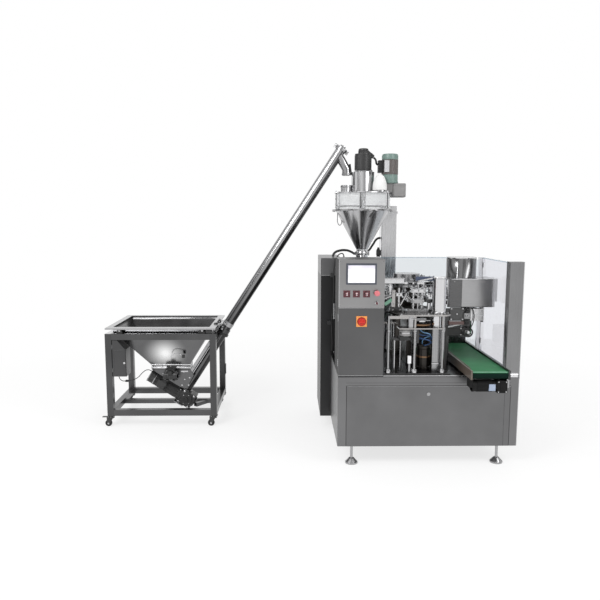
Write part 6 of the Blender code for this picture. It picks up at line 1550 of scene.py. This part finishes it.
def finish_turret():
    for node in ("left_grippers", "right_grippers"):
        refined(node, RING_STEEL, [(CHROME, lambda place, normal: place.z < 1.351)], edge=0.001)
    refined("turret_stand", COLUMN_BROWN, [
        (DRUM_STEEL, lambda place, normal: place.z > 1.205 and flat_distance(place, FRONT_DRUM) < 0.056),
        (POST_ROD, lambda place, normal: place.y < 0.070 and flat_distance(place, FRONT_DRUM) > 0.056
         and 0.745 < place.z < 1.1865),
        (PLATE_STEEL, lambda place, normal: place.y < 0.27 and 1.08 < place.z < 1.205),
        (DARK_SHEET, lambda place, normal: place.z < 0.7405),
        (TURNED, lambda place, normal: place.z > 1.40),
    ], edge=0.0008)

    middle = (TURRET.x, TURRET.y, 0.0)
    turns = round_axis(middle, ALL_STATIONS)
    left = []
    for part in gripper_hand(1, 1.388, 1.383, 0.325):
        left += copied(part, turns)
    bead, screw, other = ring_trim(0.360, 1.384, 1.404, 0.340)
    left += [bead, *copied(screw, turns), *copied(other, turns)]
    follower = turned("follower", [(0.010, 1.4045), (0.015, 1.406), (0.015, 1.418), (0.006, 1.421),
                                   (0.006, 1.427)], (TURRET.x + 0.250, TURRET.y, 0.0), CHROME, UP, 20)
    left += copied(follower, turns)
    assembled("left_gripper_links", left, "left_grippers")
    right = []
    for part in gripper_hand(-1, 1.356, 1.350, 0.285):
        right += copied(part, turns)
    assembled("right_gripper_links", right, "right_grippers")

    rods = [bar_between("column_rod", (x, y, 0.740), (x, y, 1.06), radius, finish)
            for x, y, radius, finish in ((0.470, 0.560, 0.008, BRIGHT), (0.520, 0.540, 0.006, BRIGHT),
                                         (0.445, 0.620, 0.010, CHROME))]
    deck = block("rod_deck", (0.425, 0.520, 1.050), (0.555, 0.690, 1.066), PLATE_STEEL, 0.002)
    assembled("column_rods", [*rods, deck], "machine")


# Drives, guides and air lines in front of the turret

def finish_front_works():
    parts = [
        block("guide_block", (0.548, 0.032, 1.0948), (0.582, 0.070, 1.1872), ALUMINIUM, 0.003),
        bar_between("guide_bar", (0.565, 0.036, 1.166), (0.682, 0.036, 1.166), 0.0055, CHROME),
        bar_between("guide_bar_low", (0.565, 0.060, 1.150), (0.720, 0.060, 1.150), 0.0045, BRIGHT),
        turned("cam_disc", [(0.030, 1.0945), (0.060, 1.100), (0.073, 1.110), (0.073, 1.124), (0.062, 1.132),
                            (0.040, 1.136), (0.034, 1.188)], (0.655, 0.100, 0.0), DARK_ROD, UP, 48),
        turned("cam_rim", [(0.0732, 1.109), (0.0765, 1.112), (0.0765, 1.122), (0.0732, 1.125)],
               (0.655, 0.100, 0.0), BRONZE, UP, 48),
        turned("cam_cap", [(0.036, 1.136), (0.040, 1.138), (0.040, 1.150), (0.020, 1.155)],
               (0.655, 0.094, 0.0), CHROME, UP, 32),
        turned("drive_sleeve", [(0.034, 1.0945), (0.040, 1.097), (0.040, 1.104), (0.036, 1.107),
                                (0.036, 1.180), (0.041, 1.183), (0.041, 1.188)],
               (0.773, 0.088, 0.0), DRUM_STEEL, UP, 40),
        turned("gear_drum", [(0.030, 1.027), (0.0455, 1.030), (0.0455, 1.074), (0.041, 1.078),
                             (0.041, 1.087)], (0.530, 0.078, 0.0), GEAR_GREY, UP, 40),
        turned("gear_drum_band", [(0.0456, 1.048), (0.0470, 1.049), (0.0470, 1.056), (0.0456, 1.057)],
               (0.530, 0.078, 0.0), BRIGHT, UP, 40),
        framed_block("valve_body", (0.480, 0.030, 0.995), (0.545, 0.095, 1.028), 0.006, 0.002, BLACK, 0.003),
        framed_block("sensor_box", (0.548, 0.040, 0.812), (0.574, 0.062, 0.872), 0.003, 0.001, WHITE_PLASTIC),
        block("sensor_foot", (0.554, 0.046, 0.740), (0.568, 0.058, 0.815), TURNED, 0.001),
        block("lower_block", (0.585, 0.080, 0.965), (0.640, 0.140, 1.087), DARK_ROD, 0.004),
        *[bar_between("lower_rod", (x, y, 0.742), (x, y, 1.000), radius, finish)
          for x, y, radius, finish in ((0.615, 0.090, 0.0075, BRIGHT), (0.452, 0.110, 0.0075, BRIGHT),
                                       (0.500, 0.120, 0.0060, TURNED))],
        block("rod_tie", (0.436, 0.098, 0.985), (0.640, 0.132, 1.010), DARK_ROD, 0.003),
        turned("pump_drum", [(0.050, 0.740), (0.062, 0.744), (0.062, 0.760), (0.057, 0.766), (0.057, 0.905),
                             (0.061, 0.910), (0.061, 0.928), (0.040, 0.940), (0.022, 0.944)],
               (0.700, 0.190, 0.0), COLUMN_BROWN, UP, 40),
        turned("pump_band", [(0.0572, 0.835), (0.0590, 0.837), (0.0590, 0.849), (0.0572, 0.851)],
               (0.700, 0.190, 0.0), BRONZE, UP, 40),
        framed_block("stay_plate", (0.748, 0.092, 0.7405), (0.823, 0.104, 1.0868), 0.005, 0.001, STAY_STEEL,
                     0.002),
        block("stay_lip", (0.744, 0.082, 0.800), (0.820, 0.093, 0.8085), CHROME, 0.002),
        framed_block("belt_guard", (0.828, 0.130, 0.7405), (0.873, 0.150, 1.0900), 0.006, 0.002, BLACK,
                     0.003),
        block("guard_tie", (0.815, 0.104, 1.060), (0.850, 0.135, 1.0868), TURNED, 0.002),
        block("drum_bracket", (0.612, 0.124, 1.452), (0.752, 0.136, 1.486), BLUE_PLATE, 0.003),
        bar_between("drum_rod", (0.628, 0.116, 1.450), (0.742, 0.116, 1.474), 0.0065, PALE_STEEL),
        turned("drum_rim", [(0.0542, 1.470), (0.0562, 1.472), (0.0562, 1.478), (0.050, 1.4812)],
               FRONT_DRUM, CHROME, UP, 48),
        turned("drum_foot", [(0.0600, 1.1985), (0.0620, 1.200), (0.0620, 1.206), (0.0545, 1.209)],
               FRONT_DRUM, CHROME, UP, 48),
    ]
    parts += [
        framed_block("drive_housing", (0.590, 0.330, 0.7405), (0.905, 0.620, 1.1900), 0.012, 0.003,
                     COLUMN_BROWN, 0.006),
        framed_block("housing_cover", (0.628, 0.322, 0.780), (0.735, 0.334, 1.060), 0.006, 0.0015, DARK_ROD,
                     0.003),
        framed_block("housing_cover", (0.765, 0.322, 0.900), (0.875, 0.334, 1.150), 0.006, 0.0015, DARK_SHEET,
                     0.003),
    ]
    for x, z in ((0.636, 0.788), (0.727, 0.788), (0.636, 1.052), (0.727, 1.052),
                 (0.773, 0.908), (0.867, 0.908), (0.773, 1.142), (0.867, 1.142)):
        parts.append(bolt("cover_bolt", (x, 0.3225, z), FRONT, 0.0045, TURNED))
    for x in (0.393, 0.599, 0.818):
        parts.append(turned("post_collar", [(0.0222, 0.740), (0.0250, 0.742), (0.0250, 0.756),
                                            (0.0222, 0.758), (0.0222, 0.768), (0.0180, 0.772)],
                            (x, 0.045, 0.0), BRIGHT, UP, 28))
        parts.append(bolt("collar_screw", (x, 0.0205, 0.762), FRONT, 0.005, TURNED))
        parts.append(turned("post_top", [(0.0112, 1.060), (0.0150, 1.062), (0.0150, 1.078), (0.0112, 1.080)],
                            (x, 0.045, 0.0), TURNED, UP, 24))
    for x, y in ((0.490, 0.034), (0.700, 0.034), (0.826, 0.045), (0.861, 0.090), (0.861, 0.230),
                 (0.430, 0.236)):
        parts.append(bolt("plate_bolt", (x, y, 1.199), UP, 0.0075, BRIGHT))
    assembled("front_works", parts, "machine")

    cup = [(0.007, 0.0), (0.007, 0.010), (0.013, 0.013), (0.010, 0.018), (0.015, 0.023), (0.011, 0.026)]
    opener = [
        block("opener_base", (0.560, 0.170, 1.1985), (0.730, 0.245, 1.222), TURNED, 0.003),
        block("opener_head", (0.590, 0.180, 1.352), (0.705, 0.236, 1.384), CHROME, 0.004),
        block("opener_slide", (0.600, 0.176, 1.268), (0.692, 0.240, 1.300), ALUMINIUM, 0.004),
        *[bar_between("opener_post", (x, 0.208, 1.218), (x, 0.208, 1.360), 0.0085, CHROME)
          for x in (0.612, 0.682)],
        bar_between("opener_rod", (0.647, 0.196, 1.218), (0.647, 0.196, 1.420), 0.0050, CHROME),
        turned("air_cylinder", [(0.013, 0.0), (0.017, 0.002), (0.017, 0.055), (0.013, 0.058), (0.006, 0.060),
                                (0.006, 0.075)], (0.738, 0.200, 1.215), CHROME, UP, 24),
        block("cylinder_foot", (0.716, 0.180, 1.1985), (0.760, 0.222, 1.216), BLACK, 0.003),
        block("cylinder_head", (0.714, 0.182, 1.276), (0.758, 0.220, 1.296), DARK_ROD, 0.003),
        bar_between("swing_arm", (0.700, 0.214, 1.284), (0.640, 0.300, 1.330), 0.0065, CHROME),
        bar_between("swing_arm", (0.600, 0.214, 1.284), (0.560, 0.300, 1.322), 0.0065, CHROME),
        turned("suction_cup", cup, (0.640, 0.296, 1.330), RUBBER, -FRONT, 24),
        turned("suction_cup", cup, (0.560, 0.296, 1.322), RUBBER, -FRONT, 24),
        block("left_bracket", (0.425, 0.190, 1.1985), (0.520, 0.245, 1.236), DARK_ROD, 0.004),
        block("left_column", (0.440, 0.200, 1.230), (0.468, 0.236, 1.372), PLATE_STEEL, 0.003),
        bar_between("left_post", (0.497, 0.215, 1.230), (0.497, 0.215, 1.388), 0.0100, CHROME),
        block("left_clamp", (0.474, 0.194, 1.322), (0.520, 0.240, 1.350), CHROME, 0.003),
        bar_between("left_arm", (0.470, 0.214, 1.336), (0.385, 0.214, 1.300), 0.0075, CHROME),
        bar_between("left_link", (0.508, 0.206, 1.245), (0.560, 0.206, 1.345), 0.0055, BRIGHT),
        beam("left_guard", (0.385, 0.205, 1.255), (0.440, 0.205, 1.296), 0.026, 0.004, PALE_GREEN, 0.001),
    ]
    for x, z in ((0.612, 1.384), (0.682, 1.384), (0.612, 1.300), (0.682, 1.300)):
        opener.append(bolt("opener_nut", (x, 0.208, z), UP, 0.010, BRIGHT, 0.008))
    for place in ((0.601, 0.180, 1.368), (0.647, 0.180, 1.368), (0.694, 0.180, 1.368), (0.610, 0.176, 1.284),
                  (0.682, 0.176, 1.284), (0.497, 0.194, 1.336), (0.454, 0.200, 1.262), (0.454, 0.200, 1.350),
                  (0.447, 0.190, 1.215), (0.505, 0.190, 1.215), (0.575, 0.170, 1.210), (0.715, 0.170, 1.210)):
        opener.append(bolt("opener_bolt", place, FRONT, 0.0055, TURNED))
    collar = [(0.0090, 0.0), (0.0135, 0.0015), (0.0135, 0.010), (0.0090, 0.0115)]
    for place in ((0.612, 0.208, 1.240), (0.682, 0.208, 1.240), (0.612, 0.208, 1.322), (0.682, 0.208, 1.322),
                  (0.497, 0.215, 1.262)):
        opener.append(turned("post_ring", collar, place, TURNED, UP, 20))
    assembled("pouch_opener", opener, "machine")


def finish_station():
    refined("sealing_station", STATION_GREY, [
        (DARK_ROD, lambda place, normal: place.z < 1.095),
        (PALE_STEEL, lambda place, normal: place.x > 1.121),
        (TURNED, lambda place, normal: place.x > 1.10 and place.z > 1.205),
    ], cuts=[((1.120, 0.0, 0.0), RIGHT)])
    refined("seal_jaw", ALUMINIUM, edge=0.001)
    refined("handwheel", BLACK)
    refined("sealing_hood", HOOD_STEEL, [
        # painted shade on the left part of the hood's front
        (HOOD_SHADE, lambda place, normal: normal.y < -0.9 and place.x < 1.045 and place.z < 1.445),
        (DUCT_STEEL, lambda place, normal: place.z > 1.4475),
        (HOOD_SIDE, lambda place, normal: place.x > 1.318 and place.z < 1.4475),
    ], cuts=[((1.040, 0.0, 0.0), RIGHT), ((0.0, 0.0, 1.447), UP)])
    parts = [
        framed_block("heater_block", (0.946, 0.336, 1.105), (1.060, 0.3515, 1.213), 0.006, 0.0015,
                     STATION_GREY, 0.003),
        block("heater_plate", (0.936, 0.330, 1.070), (1.062, 0.352, 1.098), SEAL_RED, 0.003),
        beam("seal_link", (0.930, 0.340, 1.052), (1.050, 0.340, 1.078), 0.016, 0.018, TURNED, 0.003),
        framed_block("drive_box", (0.906, 0.338, 0.976), (1.050, 0.3505, 1.048), 0.005, 0.002, BLACK, 0.003),
        block("drive_neck", (0.950, 0.351, 0.985), (1.052, 0.392, 1.040), DARK_ROD, 0.004),
        framed_block("valve_island", (1.064, 0.336, 1.118), (1.112, 0.3515, 1.166), 0.004, 0.001, ALUMINIUM,
                     0.002),
        block("valve_cap", (1.070, 0.330, 1.166), (1.106, 0.3515, 1.186), BLACK, 0.003),
        block("valve_foot", (1.066, 0.338, 1.070), (1.104, 0.3515, 1.116), BLACK, 0.003),
        turned("valve_knob", [(0.010, 0.0), (0.013, 0.002), (0.013, 0.012), (0.009, 0.015)],
               (1.084, 0.336, 1.092), BLACK, FRONT, 20),
        *[turned("valve_knob", [(0.007, 0.0), (0.009, 0.002), (0.009, 0.010), (0.006, 0.012)],
                 (x, 0.336, 1.142), TURNED, FRONT, 16) for x in (1.078, 1.098)],
        turned("hose_elbow", [(0.007, 0.0), (0.009, 0.002), (0.009, 0.014), (0.006, 0.016)],
               (1.086, 0.342, 1.186), BLACK, UP, 16),
        turned("hose_socket", [(0.007, 0.0), (0.009, 0.002), (0.009, 0.012), (0.006, 0.014)],
               (1.094, 0.346, 1.052), BLACK, -UP, 16),
        turned("wheel_collar", [(0.0085, 0.0), (0.0170, 0.002), (0.0170, 0.012), (0.0090, 0.015)],
               (1.093, 0.3515, 1.010), TURNED, FRONT, 24),
    ]
    parts += [bolt("heater_bolt", (x, 0.3362, z), FRONT, 0.005, BRIGHT)
              for x, z in ((0.956, 1.115), (1.050, 1.115), (0.956, 1.203), (1.050, 1.203), (1.003, 1.159))]
    parts += [bolt("drive_bolt", (x, 0.3382, z), FRONT, 0.005, TURNED)
              for x, z in ((0.916, 0.986), (1.040, 0.986), (0.916, 1.038), (1.040, 1.038))]
    assembled("station_details", parts, "machine")

    cap = turned("wheel_cap", [(0.0100, 0.0), (0.0125, 0.002), (0.0100, 0.008), (0.004, 0.010)],
                 (1.093, 0.3048, 1.010), WHITE_PLASTIC, FRONT, 24)
    assembled("handwheel_cap", [cap], "handwheel")

    rod = bar_between("hood_rod", (1.250, 0.500, 1.088), (1.250, 0.500, 1.218), 0.0042, TURNED)
    knob = turned("hood_knob", [(0.006, 0.0), (0.014, 0.004), (0.015, 0.012), (0.011, 0.022), (0.006, 0.026)],
                  (1.256, 0.497, 1.068), BLACK, Vector((0.35, 0.0, 0.9)), 16)
    flap = block("hood_flap", (1.250, 0.4555, 1.2325), (1.352, 0.4725, 1.2455), BLACK, 0.003)
    # painted highlights: bright strips along the top edges of the side box and the hood front; painted
    # shadow: a dark strip along the hood front's lower edge
    top_lip = block("side_box_highlight", (1.318, 0.4675, 1.4365), (1.3755, 0.4735, 1.4425), EDGE_STEEL, 0.001)
    front_lip = block("hood_top_highlight", (0.950, 0.3395, 1.4435), (1.292, 0.3450, 1.4485), EDGE_STEEL, 0.001)
    low_lip = block("hood_low_shadow", (0.950, 0.3400, 1.2150), (1.292, 0.3440, 1.2190), SEAM, 0.001)
    collar = turned("duct_collar", [(0.1222, 1.4475), (0.1330, 1.4485), (0.1330, 1.4515), (0.1235, 1.4545)],
                    DUCT_MIDDLE, BRIGHT, UP, 72)
    rim = turned("duct_rim", [(0.1222, 1.611), (0.1240, 1.612), (0.1240, 1.6185), (0.1222, 1.6195)],
                 DUCT_MIDDLE, BRIGHT, UP, 72)
    screws = [bolt("hood_screw", (x, 0.3418, 1.427), FRONT, 0.004, TURNED) for x in (0.975, 1.130, 1.270)]
    assembled("hood_details", [rod, knob, flap, top_lip, front_lip, low_lip, collar, rim, *screws], "machine")


def make_air_lines():
    air_hose("blue_line_coil", [
        (0.612, 0.110, 1.070), (0.624, 0.098, 1.052), (0.660, 0.086, 1.030), (0.706, 0.080, 1.030),
        (0.738, 0.092, 1.015), (0.744, 0.112, 0.995), (0.724, 0.128, 0.985), (0.684, 0.128, 0.988),
        (0.648, 0.112, 1.000), (0.644, 0.092, 1.006), (0.672, 0.078, 1.002), (0.712, 0.078, 0.990),
        (0.736, 0.092, 0.972), (0.730, 0.114, 0.955), (0.700, 0.126, 0.942), (0.690, 0.150, 0.938),
    ], 0.0045, BLUE_HOSE)
    air_hose("blue_line_upper", [
        (0.640, 0.075, 1.094), (0.644, 0.070, 1.076), (0.664, 0.062, 1.058), (0.694, 0.060, 1.050),
        (0.720, 0.068, 1.040), (0.726, 0.084, 1.026), (0.712, 0.096, 1.014), (0.690, 0.104, 1.004),
        (0.676, 0.124, 0.976), (0.682, 0.150, 0.948),
    ], 0.0045, PALE_BLUE_HOSE)
    air_hose("station_line", [
        (1.086, 0.342, 1.200), (1.094, 0.340, 1.212), (1.112, 0.336, 1.213), (1.132, 0.334, 1.196),
        (1.142, 0.334, 1.164), (1.144, 0.334, 1.124), (1.136, 0.336, 1.080), (1.122, 0.340, 1.048),
        (1.106, 0.344, 1.034), (1.095, 0.346, 1.040),
    ], 0.0035, CORD_BLACK)
    air_hose("cabinet_line", [
        (0.118, 0.930, 1.5895), (0.118, 0.930, 1.606), (0.108, 0.915, 1.624), (0.084, 0.895, 1.626),
        (0.058, 0.880, 1.606), (0.040, 0.876, 1.568), (0.029, 0.876, 1.500), (0.024, 0.877, 1.430),
        (0.024, 0.877, 1.308), (0.020, 0.877, 1.162), (0.010, 0.877, 1.000), (0.016, 0.877, 0.820),
        (0.013, 0.877, 0.660), (0.010, 0.877, 0.480), (0.006, 0.877, 0.320), (0.006, 0.877, 0.262),
    ], 0.0050, CORD_BLACK)


# Everything, in order

finish_filler()
make_sock()
finish_tube()
finish_feeder()
finish_base()
finish_cabinet()
finish_belt()
finish_turret()
finish_front_works()
finish_station()
make_air_lines()
